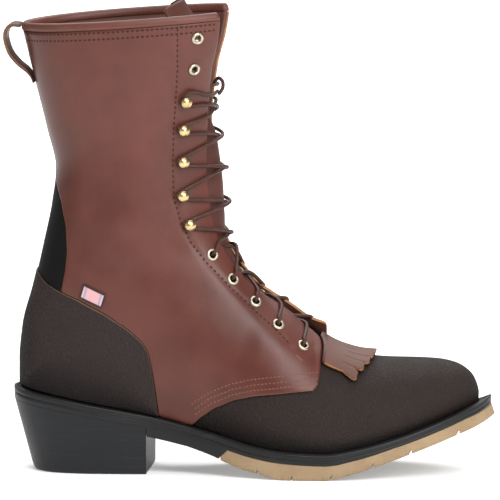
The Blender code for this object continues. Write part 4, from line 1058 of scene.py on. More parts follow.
quarter_leather = smooth_leather("quarter_leather", (0.094, 0.0230, 0.0146), 0.38, raw=0.992)
quarter_lift = SEAT + QUARTER_THICK
for (side_name, side), front_end, flare in zip(SIDES, (QUARTER_FRONT, INNER_FRONT), FLARES):
    quarter = overlay(f"shaft_{side_name}", side, quarter_keep, (QUARTER_ROW, COLLAR_ROW), quarter_lift,
                      QUARTER_GRID, front_end, flare)
    dress(quarter, "smooth_leather", quarter_leather, lining, edge_raw)
    thicken(quarter, QUARTER_THICK)
    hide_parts(f"quarter_{side_name}")

# Heel counter: a stiff dark cup of pebbled leather round the heel, thicker than the quarters.
# It is laid over their lower ends and sewn down, with a pale raw edge along its top.
COUNTER_SEAT = 0.5
COUNTER_THICK = 2.2
COUNTER_REACH = (14.0, 25.5)
COUNTER_GRID = (90, 110)


def counter_keep(s, points, side):
    return np.minimum(above_welt(points), -off_counter(points) - SEAM_GAP)


counter_lift = COUNTER_SEAT + COUNTER_THICK


def counter_half(name, side):
    return overlay(name, side, counter_keep, COUNTER_REACH, counter_lift, COUNTER_GRID)


counter = both_halves("heel_counter", counter_half)
# The counter has painted shade that deepens towards its lower edge.
counter_leather = pebbled_leather("counter_leather", (0.029, 0.0208, 0.0198), 540.0, 0.3, 0.02)
dress(counter, "pebbled_leather", counter_leather, lining, edge_raw)
thicken(counter, COUNTER_THICK)
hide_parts("counter")

# Backstay: a near-black strip that covers the back seam, wide over the counter and narrow up the shaft.
# It is folded from one thin leather and sewn along both edges.
BACKSTAY_ROW = 23.0
BACKSTAY_GRID = (34, 120)


def backstay_keep(s, points, side):
    return np.minimum(off_counter(points) - SEAM_GAP, on_backstay(s, points) - SEAM_GAP)


def backstay_half(name, side):
    return overlay(name, side, backstay_keep, (BACKSTAY_ROW, COLLAR_ROW), quarter_lift, BACKSTAY_GRID)


backstay = both_halves("back_seam_strip", backstay_half)
stay_leather = smooth_leather("backstay_leather", (0.0050, 0.0046, 0.0044), 0.58, 0.1)
dress(backstay, "dark_leather", stay_leather, lining, edge_raw)
thicken(backstay, QUARTER_THICK)
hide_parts("backstay")

# Tongue: one long leather flap behind the laces, sewn to the vamp at its foot and rising past the collar.
# It lies under both quarters, and its free end leans back into the shaft.
TONGUE_THICK = 2.5
TONGUE_DROP = 3.6
# Section number, half width, lean to the back, lift, bulge between the quarters
TONGUE = np.array((
    (9.4, 12.0, 0.0, 0.0, 0.0), (11.0, 19.0, 0.0, 0.0, -0.8), (13.0, 22.0, 0.0, 0.0, -1.0),
    (16.0, 23.0, 0.0, 0.0, 1.2), (18.0, 23.2, 0.0, 0.0, 4.0), (22.0, 23.7, 0.0, 0.0, 5.6),
    (24.0, 24.0, 0.0, 0.0, 4.8), (26.0, 26.0, 3.0, 0.0, 1.0), (27.0, 28.0, 7.0, 0.5, 0.0),
    (28.0, 29.5, 13.0, 1.5, 0.0), (29.0, 30.0, 22.0, 4.0, 0.0), (30.0, 27.0, 37.0, 8.0, 0.0)))
BULGE_HALF = 15.5
# Thinned side edges: share of the half width where they start, drop at the edge
TONGUE_EDGE = 0.96
TONGUE_EDGE_DROP = 0.5
TONGUE_GRID = (60, 200)


def front_point(s, w, lift):
    """Points over the throat at section s and sideways place w, lifted off the upper's own curve."""
    def at(row, place):
        c = arcs(row, -1)
        half = np.where(place < c["ridge"], c["half_front"], arcs(row, 1)["half_front"])
        share = np.clip(np.abs(place - c["ridge"]) / half, 0, 1)
        q = c["peak"] * (1 - (1 - share ** c["front"]) ** (1 / c["front"]))
        return np.stack((c["front_x"] + q * (c["back_x"] - c["front_x"]), place + 0 * q,
                         c["front_z"] + q * (c["back_z"] - c["front_z"])), axis=-1)
    s = np.asarray(s, float)
    w = np.asarray(w, float)
    small = 0.02
    along = at(np.minimum(s + small, COLLAR_ROW), w) - at(s - small, w)
    around = at(s, w + small * 20) - at(s, w - small * 20)
    return at(s, w) + np.asarray(lift)[..., None] * unit(np.cross(around, along))


def tongue_shape(u, v):
    s = TONGUE[0, 0] + (TONGUE[-1, 0] - TONGUE[0, 0]) * v
    share = 2 * u - 1
    half, lean, lift, bulge = (smooth(TONGUE, s, column) for column in (1, 2, 3, 4))
    drop = TONGUE_EDGE_DROP * np.clip((np.abs(share) - TONGUE_EDGE) / (1 - TONGUE_EDGE), 0, 1) ** 2
    rise = bulge * np.clip(1 - (half * share / BULGE_HALF) ** 2, 0, 1)
    points = front_point(s, half * share, rise - TONGUE_DROP - drop)
    points[:, 0] -= lean
    points[:, 2] += lift * (1 - 0.5 * share ** 4)
    return points


def forward(points):
    return np.broadcast_to((0.8, 0.0, 0.6), points.shape)


tongue = laid_grid("long_tongue", *TONGUE_GRID, tongue_shape, forward)
tongue_leather = smooth_leather("tongue_leather", (0.080, 0.0245, 0.0178), 0.5, 0.2)
dress(tongue, "smooth_leather", tongue_leather, lining, edge_raw)
thicken(tongue, TONGUE_THICK)
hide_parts("tongue")

# Kiltie: a fringed false tongue over the vamp, cut from the quarter's leather into ten round-ended strips.
# It is caught under the lowest laces, and its strips lie on the vamp with their tips a little up.
KILTIE_THICK = 1.8
KILTIE_GAP = 0.2
KILTIE_REAR = 50.0
KILTIE_BEHIND = 0.35
# Rear edge: place down the quarters' front ends, section number
KILTIE_EDGE = np.array(((0.0, 10.35), (0.1, 10.15), (0.3, 10.02), (0.7, 10.0), (0.9, 10.06), (1.0, 10.3)))
KILTIE_ROOT = 61.0
KILTIE_HALF = 30.5
KILTIE_TIPS = (80.0, 79.2, 77.4, 74.2, 70.4)
KILTIE_SLOT = 0.16
TIP_ROUND = 2.8
KILTIE_FAN = 0.12
# Rounded edges of a strip: share of its half width where they start, drop at the edge
STRIP_EDGE = 0.7
STRIP_EDGE_DROP = 0.15
STRIP_COLUMNS = 8
STRIP_STEPS = 40
STRIPS = 2 * len(KILTIE_TIPS)
BODY_COLUMNS = STRIPS * (STRIP_COLUMNS + 1) - 1
BODY_ROWS = 8
# Rise of each strip's tip, from the outer side over the middle to the inner side
STRIP_RISES = (0.5, 0.9, 0.4, 0.8, 0.3, 0.6, 0.3, 0.9, 0.5, 0.7)
VAMP_ROWS = np.column_stack((SECTIONS[16::-1, 0], ROWS[16::-1]))


def strip_place(strip, across):
    """Sideways place on a strip: across runs from 0 to 1, strips count from the outer side."""
    pitch = KILTIE_HALF / len(KILTIE_TIPS)
    return (strip - len(KILTIE_TIPS)) * pitch + KILTIE_SLOT / 2 + across * (pitch - KILTIE_SLOT)


def on_vamp(x, w, lift):
    """Points of the kiltie over the vamp at length position x and sideways place w."""
    return front_point(np.interp(x, *VAMP_ROWS.T), w, KILTIE_GAP + KILTIE_THICK + lift)


def kiltie_start(w):
    """Rear edge of the kiltie: just in front of the quarters' front ends."""
    ends = []
    for side in (-1, 1):
        rows, first, last = kept_span(side, quarter_keep, QUARTER_ROW, QUARTER_ROW + 1)
        across = np.linspace(0, 1, 40)
        s = smooth(KILTIE_EDGE, across)
        low = np.interp(s, rows, first)
        high = np.interp(s, rows, last)
        ends.append(surface(s, low + (high - low) * across, side)[0])
    edge = np.vstack((ends[0][::-1], ends[1]))
    return np.interp(w, edge[:, 1], edge[:, 0]) + KILTIE_BEHIND


def kiltie_body(u, v):
    place = np.rint(u * BODY_COLUMNS).astype(int)
    w = strip_place(place // (STRIP_COLUMNS + 1), (place % (STRIP_COLUMNS + 1)) / STRIP_COLUMNS)
    start = kiltie_start(w)
    return on_vamp(start + (KILTIE_ROOT - start) * v, w, np.zeros(len(u)))


def strip_shape(strip):
    tip = (KILTIE_TIPS[::-1] + KILTIE_TIPS)[strip]
    middle = strip_place(strip, 0.5)

    def shape(u, v):
        share = np.sin(v * math.pi / 2)
        left = np.clip((1 - share) * (tip - KILTIE_ROOT) / TIP_ROUND, 0, 1)
        width = np.sqrt(np.clip(1 - (1 - left) ** 2, 0.2, 1))
        w = (middle + (strip_place(strip, u) - middle) * width) * (1 + KILTIE_FAN * share)
        edge = np.clip((np.abs(2 * u - 1) - STRIP_EDGE) / (1 - STRIP_EDGE), 0, 1)
        lift = STRIP_RISES[strip] * share ** 2 - STRIP_EDGE_DROP * edge ** 2 * np.clip(v * 6, 0, 1)
        return on_vamp(KILTIE_ROOT + (tip - KILTIE_ROOT) * share, w, lift)

    return shape


def upward(points):
    return np.broadcast_to((0.2, 0.0, 1.0), points.shape)


def downward(points):
    return -upward(points)


# The leather is built up over the laid sheet, and on the innermost strip under it.
kiltie_pieces = [laid_grid("kiltie_body", BODY_COLUMNS, BODY_ROWS, kiltie_body, downward)]
for strip in range(STRIPS):
    facing = upward if strip == STRIPS - 1 else downward
    kiltie_pieces.append(laid_grid(f"kiltie_strip_{strip}", STRIP_COLUMNS, STRIP_STEPS, strip_shape(strip),
                                   facing))
kiltie = join(kiltie_pieces, "fringed_kiltie")
kiltie_leather = smooth_leather("kiltie_leather", (0.060, 0.0195, 0.0136), 0.46, 0.22)
dress(kiltie, "smooth_leather", kiltie_leather, lining, edge_raw)
thicken(kiltie, KILTIE_THICK)
kiltie_faces = np.empty(len(kiltie.data.polygons), dtype=int)
kiltie_middles = np.empty(len(kiltie.data.polygons) * 3)
kiltie.data.polygons.foreach_get("material_index", kiltie_faces)
kiltie.data.polygons.foreach_get("center", kiltie_middles)
kiltie_faces[kiltie_middles[::3] < KILTIE_REAR * MM] = 0
kiltie.data.polygons.foreach_set("material_index", kiltie_faces)
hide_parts("kiltie")

# Collar binding: a soft leather strip rolled over the top edge of the quarters and their lining.
# It is sewn through below the roll and is a lighter brown than the shaft.
BINDING_END = 0.006
BINDING_ROWS = 260
# Across the binding: way out from the upper's face, height over its edge
BINDING_PROFILE = np.array((
    (1.9, 0.12), (2.5, 0.25), (2.8, 0.8), (2.85, 2.2), (2.65, 3.4), (2.1, 4.4), (1.2, 5.1), (0.1, 5.3),
    (-1.0, 5.0), (-1.9, 4.3), (-2.4, 3.3), (-2.6, 2.2), (-2.55, 0.8), (-2.3, 0.25), (-1.8, 0.12)))


def way_along(points):
    """Length from the start of a path to each of its points."""
    return np.concatenate(([0.0], np.cumsum(np.linalg.norm(np.diff(points, axis=0), axis=1))))


def along_route(path, v):
    """Places, even along a path, for v from 0 to 1."""
    length = way_along(path)
    return np.stack([np.interp(v, length / length[-1], path[:, k]) for k in range(3)], axis=-1)


def edge_of_collar(v):
    """Collar edge from the outer throat corner round the back to the inner one."""
    outer = surface(COLLAR_ROW, np.linspace(0, 1, 200), -1)[0]
    inner = surface(COLLAR_ROW, np.linspace(1, 0, 200), 1)[0]
    return along_route(np.vstack((outer, inner[1:])), v)


def binding_shape(u, v):
    count = len(BINDING_PROFILE)
    row = np.rint(u * count).astype(int) % count
    middle = edge_of_collar(v)
    small = 0.004
    run = unit(edge_of_collar(np.minimum(v + small, 1)) - edge_of_collar(np.maximum(v - small, 0)))
    aside = unit(np.cross((0.0, 0.0, 1.0), run))
    ends = np.sqrt(np.clip(np.minimum(v, 1 - v) / BINDING_END, 0.2, 1))
    wide, high = (BINDING_PROFILE[row, column] * ends for column in (0, 1))
    return middle + wide[:, None] * aside + high[:, None] * np.array((0.0, 0.0, 1.0))


binding = laid_grid("rolled_collar", len(BINDING_PROFILE), BINDING_ROWS, binding_shape)
dress(binding, "edge_leather", smooth_leather("binding_leather", (0.115, 0.034, 0.0235), 0.45))
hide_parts("collar_binding")

# Pull loop: a folded leather strap that arches off the back of the collar for pulling the boot on.
# Its upper end is caught inside the collar, and its lower end is sewn flat on the backstay.
LOOP_THICK = 2.5
LOOP_WIDTH = 19.0
LOOP_SQUARENESS = 0.35
# Middle of the strap in the side view
LOOP_LINE = (
    (-145.6, 282.4), (-150.8, 282.6), (-154.3, 279.4), (-155.0, 273.5), (-152.2, 264.8), (-146.8, 258.2),
    (-141.4, 253.8), (-138.4, 250.0), (-136.9, 246.0))
LOOP_TAPER = 0.22
LOOP_END = 0.35
LOOP_CAP = 0.01
EDGE_FACING = 0.6
LOOP_GRID = (40, 90)


def smooth_route(points, steps):
    """Rounded path through given points."""
    points = np.asarray(points, float)
    padded = np.vstack((2 * points[0] - points[1], points, 2 * points[-1] - points[-2]))
    path = []
    for a, b, c, d in zip(padded, padded[1:], padded[2:], padded[3:]):
        for u in np.arange(steps) / steps:
            path.append(0.5 * (2 * b + (c - a) * u + (2 * a - 5 * b + 4 * c - d) * u ** 2
                               + (3 * b - a - 3 * c + d) * u ** 3))
    path.append(points[-1])
    return np.array(path)


strap_edge = raw_edge("raw_strap_edge", (0.085, 0.034, 0.016), (0.19, 0.085, 0.042))
loop_path = smooth_route([(x, 0.0, z) for x, z in LOOP_LINE], 12)


def loop_shape(u, v):
    turn = u * 2 * math.pi
    inside = np.clip((v - LOOP_CAP) / (1 - 2 * LOOP_CAP), 0, 1)
    full = np.where((v < LOOP_CAP / 2) | (v > 1 - LOOP_CAP / 2), 0.0, 1.0)
    middle = along_route(loop_path, inside)
    small = 0.01
    run = unit(along_route(loop_path, np.minimum(inside + small, 1))
               - along_route(loop_path, np.maximum(inside - small, 0)))
    out = np.cross(run, (0.0, 1.0, 0.0))
    wide = np.sign(np.cos(turn)) * np.abs(np.cos(turn)) ** LOOP_SQUARENESS * LOOP_WIDTH / 2
    taper = np.interp(1 - inside, (0.0, LOOP_TAPER), (LOOP_END, 1.0))
    thick = np.sign(np.sin(turn)) * np.abs(np.sin(turn)) ** LOOP_SQUARENESS * taper * LOOP_THICK / 2
    return middle + (full * thick)[:, None] * out + (full * wide)[:, None] * np.array((0.0, 1.0, 0.0))


loop = laid_grid("pull_strap", *LOOP_GRID, loop_shape)
dress(loop, "smooth_leather", smooth_leather("strap_leather", (0.085, 0.024, 0.0165), 0.45), strap_edge)
loop_normals = np.empty(len(loop.data.polygons) * 3)
loop.data.polygons.foreach_get("normal", loop_normals)
loop.data.polygons.foreach_set("material_index", (np.abs(loop_normals[1::3]) > EDGE_FACING).astype(int))
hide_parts("pull_loop")

# Side tab: a small plain piece of woven cloth, pink with two bars and a dark border.
# It is caught by the counter seam and sewn down on its edges.
TAB_THICK = 0.8
TAB_GAP = 0.6
# Sewn-down edge: drop at the edge, share of the tab that it takes
TAB_SAG = 0.35
TAB_SAG_SHARE = 0.12
TAB_GRID = (24, 14)
TAB_CORNERS = np.array((((-104.6, 113.0), (-90.4, 106.4)), ((-101.9, 121.8), (-87.7, 115.2))))


def find(x, z, side):
    """Section number and t of the point of one side that shows at (x, z) in the side view."""
    rows = np.linspace(0, COLLAR_ROW, 3001)
    c = arcs(rows, side)
    run_x = c["back_x"] - c["front_x"]
    run_z = c["back_z"] - c["front_z"]
    miss = (x - c["front_x"]) * run_z - (z - c["front_z"]) * run_x
    q = ((x - c["front_x"]) * run_x + (z - c["front_z"]) * run_z) / (run_x ** 2 + run_z ** 2)
    crossing = np.flatnonzero((np.sign(miss[:-1]) != np.sign(miss[1:])) & (q[:-1] > -0.1) & (q[:-1] < 1.1))
    i = crossing[0] if len(crossing) else int(np.argmin(np.abs(miss)))
    places = np.linspace(0, 1, 2001)
    along = surface(rows[i], places, side)[1]
    return rows[i], float(np.interp(q[i], along, places))


def tab_shape(u, v):
    low = TAB_CORNERS[0, 0] + (TAB_CORNERS[0, 1] - TAB_CORNERS[0, 0]) * u[:, None]
    high = TAB_CORNERS[1, 0] + (TAB_CORNERS[1, 1] - TAB_CORNERS[1, 0]) * u[:, None]
    places = low + (high - low) * v[:, None]
    found = np.array([find(x, z, -1) for x, z in places])
    edge = np.minimum.reduce((u, 1 - u, v, 1 - v))
    sag = TAB_SAG * np.clip(1 - edge / TAB_SAG_SHARE, 0, 1) ** 2
    return lifted(found[:, 0], found[:, 1], -1, quarter_lift + TAB_GAP + TAB_THICK - sag)


def woven_tab():
    finish = Finish("woven_tab")
    across = finish.uv("X")
    up = finish.uv("Y")
    stripes = (up * 62.8).sine().step(-0.6, 0.6)
    band = ((across - 0.5).size() - 0.32).size().step(0.045, 0.035)
    edge_x = 0.5 - (across - 0.5).size()
    edge_y = 0.5 - (up - 0.5).size()
    border = 1.0 - edge_x.step(0.06, 0.08) * edge_y.step(0.10, 0.13)
    weave = (across * 260.0).sine() * (up * 150.0).sine()
    plain = stripes.colour((0.58, 0.27, 0.29), (0.70, 0.43, 0.43))
    cloth = band.colour(plain, (0.27, 0.32, 0.43))
    return finish.surface({
        "Base Color": border.colour(cloth, (0.03, 0.02, 0.02)), "Roughness": 0.8,
        "Normal": finish.bump(weave, 0.3, 0.0002)})


tab = laid_grid("woven_side_tab", *TAB_GRID, tab_shape, from_inside)
dress(tab, "tab_cloth", woven_tab())
thicken(tab, TAB_THICK, inside=0, rim=0)
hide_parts("side_tab")

# Eyelets: pressed nickel rings, seven a side, set through quarter and upper.
# Each has a rolled rim outside and a short barrel in its punched hole.
EYELETS = (
    (35.2, 81.7), (19.4, 94.7), (4.6, 108.6), (-10.1, 123.0), (-22.9, 139.0), (-33.5, 258.7), (-30.7, 278.7))
EYELET_HOLE = 2.0
FITTING_GAP = 0.55
FITTING_LIFT = SEAT + QUARTER_THICK + FITTING_GAP
PUNCH_RADIUS = 2.4
PUNCH_DEPTH = 12.0
PUNCH_STEPS = 18
EYELET_STEPS = 28
# Rim and barrel: radius, height over the seat
EYELET_PROFILE = (
    (3.8, -0.5), (4.0, -0.25), (3.98, 0.2), (3.7, 0.62), (3.2, 0.92), (2.7, 0.98), (2.3, 0.72), (2.06, 0.25),
    (EYELET_HOLE, -0.5), (EYELET_HOLE, -3.6), (2.25, -3.6), (2.28, -0.6))


def seat_on(x, z, side):
    """Frame on the quarter: point, outward, up along the throat, away from the throat, section number."""
    s, t = find(x, z, side)
    away = outward(s, t, side)
    small = 0.01
    back = unit(surface(s, t + small, side)[0] - surface(s, t - small, side)[0])
    up = np.cross(away, back) * side
    return surface(s, t, side)[0], away, up, back, s


def turned(name, profile, steps, ring):
    """Piece turned about Z from a profile of (radius, height): a closed ring, or open with its ends on Z."""
    profile = np.array(profile)
    last = len(profile) - (0 if ring else 1)

    def shape(u, v):
        row = np.rint(v * last).astype(int) % len(profile)
        turn = u * 2 * math.pi
        radius = profile[row, 0]
        return np.column_stack((radius * np.cos(turn), radius * np.sin(turn), profile[row, 1]))

    return laid_grid(name, steps, last, shape)


def stand_copy(source, name, place, away):
    """Copy of a small piece, stood on the boot at a place with its Z along away."""
    piece = source.copy()
    piece.data = source.data.copy()
    piece.name = name
    piece.data.name = name
    bpy.context.collection.objects.link(piece)
    piece.location = Vector(place) * MM
    piece.rotation_euler = Vector(away).to_track_quat("Z", "Y").to_euler()
    pick(piece)
    bpy.ops.object.transform_apply(location=True, rotation=True, scale=True)
    return piece


def metal(name, tint, rough):
    finish = Finish(name)
    cloud = finish.noise(260.0, 4.0)
    scratch = finish.noise(2600.0, 3.0)
    colour = (cloud * 0.7 + scratch * 0.3).step(0.3, 0.75).colour(shade(tint, 0.62), tint)
    return finish.surface({
        "Base Color": colour, "Metallic": 1.0, "Roughness": scratch * 0.15 + rough - 0.05,
        "Normal": finish.bump(scratch, 0.08, 0.0001)})


def set_fittings(model, places, name, node, slot, finish):
    """Copies of a fitting at its places on both sides of the boot, each standing for its node."""
    for side_name, side in SIDES:
        for index, (x, z) in enumerate(places):
            place, away, _, _, _ = seat_on(x, z, side)
            number = f"{side_name}_{index + 1}"
            fitting = stand_copy(model, f"{name}_{number}", place + FITTING_LIFT * away, away)
            dress(fitting, slot, finish)
            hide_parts(f"{node}_{number}")
    bpy.data.objects.remove(model)


nickel = metal("old_nickel", (0.66, 0.59, 0.45), 0.38)
set_fittings(turned("eyelet_model", EYELET_PROFILE, EYELET_STEPS, ring=True), EYELETS, "ring", "eyelet",
             "old_nickel", nickel)
bpy.ops.mesh.primitive_cylinder_add(vertices=PUNCH_STEPS, radius=PUNCH_RADIUS * MM, depth=PUNCH_DEPTH * MM)
punch_model = bpy.context.object
for side_name, side in SIDES:
    seats = [seat_on(x, z, side) for x, z in EYELETS]
    punch = join([stand_copy(punch_model, "punch", seat[0], seat[1]) for seat in seats])
    for punched in (bpy.data.objects[f"shaft_{side_name}"], upper):
        harden(punched, "BOOLEAN", operation="DIFFERENCE", object=punch)
    bpy.data.objects.remove(punch)
bpy.data.objects.remove(punch_model)

# Hooks: brass studs with a round head on a narrow neck, five a side, riveted through the quarter.
# The lace is pulled in behind the head and round the neck.
HOOKS = ((-37.6, 158.5), (-42.0, 177.4), (-42.0, 199.1), (-41.7, 219.7), (-40.1, 238.2))
HOOK_NECK = 1.3
HOOK_FOOT = 0.9
HOOK_STEPS = 32
# Head, neck and base: radius, height over the seat
HOOK_PROFILE = (
    (0.0, 6.4), (0.9, 6.33), (1.8, 6.1), (2.6, 5.7), (3.2, 5.2), (3.6, 4.65), (3.75, 4.2), (3.65, 3.95),
    (3.3, 3.82), (HOOK_NECK, 3.85), (HOOK_NECK, HOOK_FOOT), (1.8, 0.85), (2.45, 0.6), (2.6, 0.2),
    (2.6, -0.45), (0.0, -0.45))
brass = metal("hook_brass", (0.80, 0.60, 0.29), 0.26)
set_fittings(turned("hook_model", HOOK_PROFILE, HOOK_STEPS, ring=False), HOOKS, "stud", "hook",
             "brass", brass)

# Lace: one round braided cord. It starts under the throat, comes up through each laced eyelet, crosses over
# and dives under the other quarter, then winds round the hooks; its two ends are tucked in at the top hooks.
LACE_RADIUS = 1.15
LACE_THIN = 0.85
LACE_CLEAR = 0.8
LACE_GAP = 0.25
LACED_EYELETS = 5
LACE_GRID = (760, 12)
UNDER_LIFT = -2.75
OVER_LIFT = SEAT + QUARTER_THICK + LACE_GAP + LACE_RADIUS
RIM_LIFT = FITTING_LIFT + 0.9 + LACE_RADIUS
TONGUE_CLEAR = 0.25
CROSSING_GAP = 0.1
EDGE_WAY = 1.0
# Through an eyelet: height over the upper, way out over the rim, radius of the cord
EYELET_ROUTE = (
    (UNDER_LIFT, 0.0, LACE_THIN), (0.6, 0.3, 1.0), (FITTING_LIFT, 0.75, LACE_RADIUS),
    (RIM_LIFT, 2.7, LACE_RADIUS), (OVER_LIFT + 0.5, 5.2, LACE_RADIUS))
# Way under the quarter before an eyelet, and shares of up and forward in the way out
UNDER_WAY = 4.0
WAY_OUT = (0.12, 0.99)
HOOK_ANGLES = (-90, -30, 30, 90)
# Lace crossings: share of the way up at the near edge, over the middle and at the far edge of the throat
EYELET_SHARES = (0.1, 0.5, 0.9)
# Height under the next hook of the same three places
HOOK_DIPS = (11.0, 6.5, 3.6)
# Arch of the outer half's end over its top hook, in the side view
END_ARCH = (-36.0, 244.6)
# End of the inner half: a small loop in front of the tongue, over the top hooks
END_LOOP = ((-23.0, 7.0, 246.0), (-20.5, 5.0, 249.0), (-17.6, 2.0, 247.0), (-17.4, 0.0, 243.0),
            (-20.0, -2.5, 238.8))


def throat_point(s, sign, lift):
    """Point at the throat's edge on one side, or over its middle where sign is 0."""
    return front_point(s, sign * (section(s)["gap"] + EDGE_WAY), lift)


def over_tongue(s, above):
    """Point over the middle of the tongue, for the lower or the upper of two crossing strands."""
    lift = smooth(TONGUE, s, 4) - TONGUE_DROP + TONGUE_CLEAR + LACE_RADIUS
    return throat_point(s, 0, lift + (2 * LACE_RADIUS + CROSSING_GAP if above else 0.0))


def edge_level(height, sign):
    """Section number where the throat's edge, or its middle where sign is 0, reaches a height."""
    rows = np.linspace(QUARTER_ROW + 1, COLLAR_ROW, 400)
    return float(np.interp(height, throat_point(rows, sign, OVER_LIFT)[:, 2], rows))


def through_eyelet(level, side):
    """Route from under the quarter up through an eyelet and out over its rim, towards the throat."""
    place, away, up, back, s = seat_on(*EYELETS[level], side)
    out = WAY_OUT[0] * up - WAY_OUT[1] * back
    start = place + UNDER_LIFT * away - UNDER_WAY * back
    route = [(place + height * away + way * out, radius) for height, way, radius in EYELET_ROUTE]
    return [(start, LACE_THIN)] + route, s


def round_hook(level, side):
    """Route round a hook's neck: below it, behind it and above it."""
    place, away, up, back, s = seat_on(*HOOKS[level], side)
    middle = place + (FITTING_LIFT + HOOK_FOOT + LACE_CLEAR / 2 + LACE_RADIUS) * away
    radius = HOOK_NECK + LACE_CLEAR / 2 + LACE_RADIUS
    turns = (math.radians(angle) for angle in HOOK_ANGLES)
    return [(middle + radius * (math.cos(a) * back + math.sin(a) * up), LACE_RADIUS) for a in turns], s


def lace_half(first_side):
    """One half of the lace: points with the cord's radius there."""
    side = first_side
    above = first_side > 0
    route, s = through_eyelet(0, side)
    bar = [throat_point(s, 0, UNDER_LIFT + 0.2), throat_point(s, side, UNDER_LIFT)]
    route = [(point, LACE_THIN) for point in bar] + route
    for level in range(1, LACED_EYELETS):
        turn, s_next = through_eyelet(level, -side)
        near, middle, far = (s + share * (s_next - s) for share in EYELET_SHARES)
        over = OVER_LIFT + (throat_rise(near) - 0.3 if side > 0 else 0.0)
        route += [(throat_point(near, side, over), LACE_RADIUS), (over_tongue(middle, above), LACE_RADIUS),
                  (throat_point(far, -side, UNDER_LIFT), LACE_THIN)] + turn[1:]
        s = s_next
        side = -side
    for level in range(len(HOOKS)):
        turn, s_next = round_hook(level, -side)
        near, middle, far = (edge_level(HOOKS[level][1] - dip, sign)
                             for dip, sign in zip(HOOK_DIPS, (side, 0, -side)))
        over = [throat_point(near, side, OVER_LIFT), over_tongue(middle, above),
                throat_point(far, -side, OVER_LIFT + 0.3)]
        route += [(point, LACE_RADIUS) for point in over] + turn
        s = s_next
        side = -side
    if side > 0:
        route += [(throat_point(s - 0.1, side, OVER_LIFT + 0.4), LACE_RADIUS)]
        route += [(np.array(point), LACE_RADIUS) for point in END_LOOP]
    else:
        place, away, _, _, _ = seat_on(*END_ARCH, side)
        end = [place + (OVER_LIFT + 1.0) * away, throat_point(s - 0.3, side, OVER_LIFT),
               throat_point(s - 0.5, 0, 0.4)]
        route += [(point, LACE_RADIUS) for point in end]
    return route


def cord_frames(path):
    """Directions across a path, carried along it without twist."""
    run = unit(np.gradient(path, axis=0))
    across = [unit(np.cross(run[0], (0.3, 0.5, 0.8)))]
    for step in run[1:]:
        last = across[-1]
        across.append(unit(last - step * np.dot(last, step)))
    across = np.array(across)
    return across, np.cross(run, across)


def cord(name, route, rows, columns):
    """Round cord along a route of points with radii, closed at both ends."""
    path = smooth_route([np.append(point, radius) for point, radius in route], 14)
    length = way_along(path[:, :3])
    even = np.linspace(0, length[-1], rows + 1)
    path = np.stack([np.interp(even, length, path[:, k]) for k in range(4)], axis=-1)
    path[[0, -1], 3] = 0.0
    across, beyond = cord_frames(path[:, :3])

    def shape(u, v):
        row = np.rint(v * rows).astype(int)
        turn = u * 2 * math.pi
        radius = path[row, 3]
        return (path[row, :3] + (radius * np.cos(turn))[:, None] * across[row]
                + (radius * np.sin(turn))[:, None] * beyond[row])

    return laid_grid(name, columns, rows, shape)


# Braid pattern round the cord and along it, in radians over the whole cord
BRAID_TURNS = 18.85
BRAID_LENGTH = 1900.0


def braided_cord():
    finish = Finish("braided_cord")
    round_way = finish.uv("X") * BRAID_TURNS
    long_way = finish.uv("Y") * BRAID_LENGTH
    braid = (round_way + long_way).sine() * (round_way - long_way).sine()
    cloud = finish.noise(180.0, 4.0)
    colour = (braid * 0.3 + cloud * 0.7).step(0.1, 0.8).colour((0.034, 0.0125, 0.0088), (0.098, 0.040, 0.028))
    return finish.surface({
        "Base Color": colour, "Roughness": 0.55, "Specular IOR Level": 0.3,
        "Normal": finish.bump(braid, 0.35, 0.0003)})


def lace_cord(name, side):
    return cord(name, lace_half(side), *LACE_GRID)


lace = both_halves("boot_lace", lace_cord)
dress(lace, "cord", braided_cord())
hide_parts("lace")

# Stitching: waxed thread, dark along the eyestay and the collar, paler in the rows over the vamp seam.
# Each stitch is a short round length of thread that is pulled down into the leather.
STITCH_HIGH = 0.55
STITCH_SUNK = 0.05
STITCH_LIFT = quarter_lift - STITCH_SUNK
STITCH_SEGMENTS = 6
STITCH_RINGS = 5
EYESTAY_PITCH = 3.4
EYESTAY_STITCH = (2.2, 1.5)
COLLAR_PITCH = 3.1
COLLAR_STITCH = (2.1, 1.5)
COLLAR_ROWS = (1.6, 5.8)
COLLAR_SPAN = (0.03, 0.93)
VAMP_PITCH = 2.5
VAMP_STITCH = (1.9, 1.1)
VAMP_ROWS_UP = (3.6, 6.9, 10.4)
TACK_PLACE = ((31.5, 76.5), (35.5, 73.0))
TACK_PITCH = 1.1


def on_side(line, side, lift):
    """Points and outward directions on the quarter under a line drawn in the side view."""
    line = along_route(np.column_stack((np.array(line), np.zeros(len(line)))), np.linspace(0, 1, 60))
    found = np.array([find(x, z, side) for x, z, _ in line])
    return lifted(found[:, 0], found[:, 1], side, lift), outward(found[:, 0], found[:, 1], side)


def beside_line(line, way):
    """A line in the side view moved to its left by way."""
    line = np.array(line)
    run = np.gradient(line, axis=0)
    run /= np.linalg.norm(run, axis=1)[:, None]
    return line + way * np.column_stack((-run[:, 1], run[:, 0]))


def stitch_copies(model, points, away, pitch, turn=0.0):
    """Copies of a stitch, evenly along a path on the leather."""
    length = way_along(points)
    copies = []
    for place in np.arange(pitch / 2, length[-1], pitch):
        spot, ahead, up = (np.array([np.interp(place + step, length, values[:, k]) for k in range(3)])
                           for step, values in ((0.0, points), (0.5, points), (0.0, away)))
        run = unit(ahead - spot)
        up = unit(up - run * np.dot(up, run))
        across = np.cross(up, run)
        run = math.cos(turn) * run + math.sin(turn) * across
        copy = model.copy()
        bpy.context.collection.objects.link(copy)
        frame_of = np.eye(4)
        frame_of[:3, :3] = np.column_stack((run, np.cross(up, run), up))
        frame_of[:3, 3] = spot * MM
        copy.matrix_world = Matrix(frame_of.tolist())
        copies.append(copy)
    bpy.context.view_layer.update()
    return copies


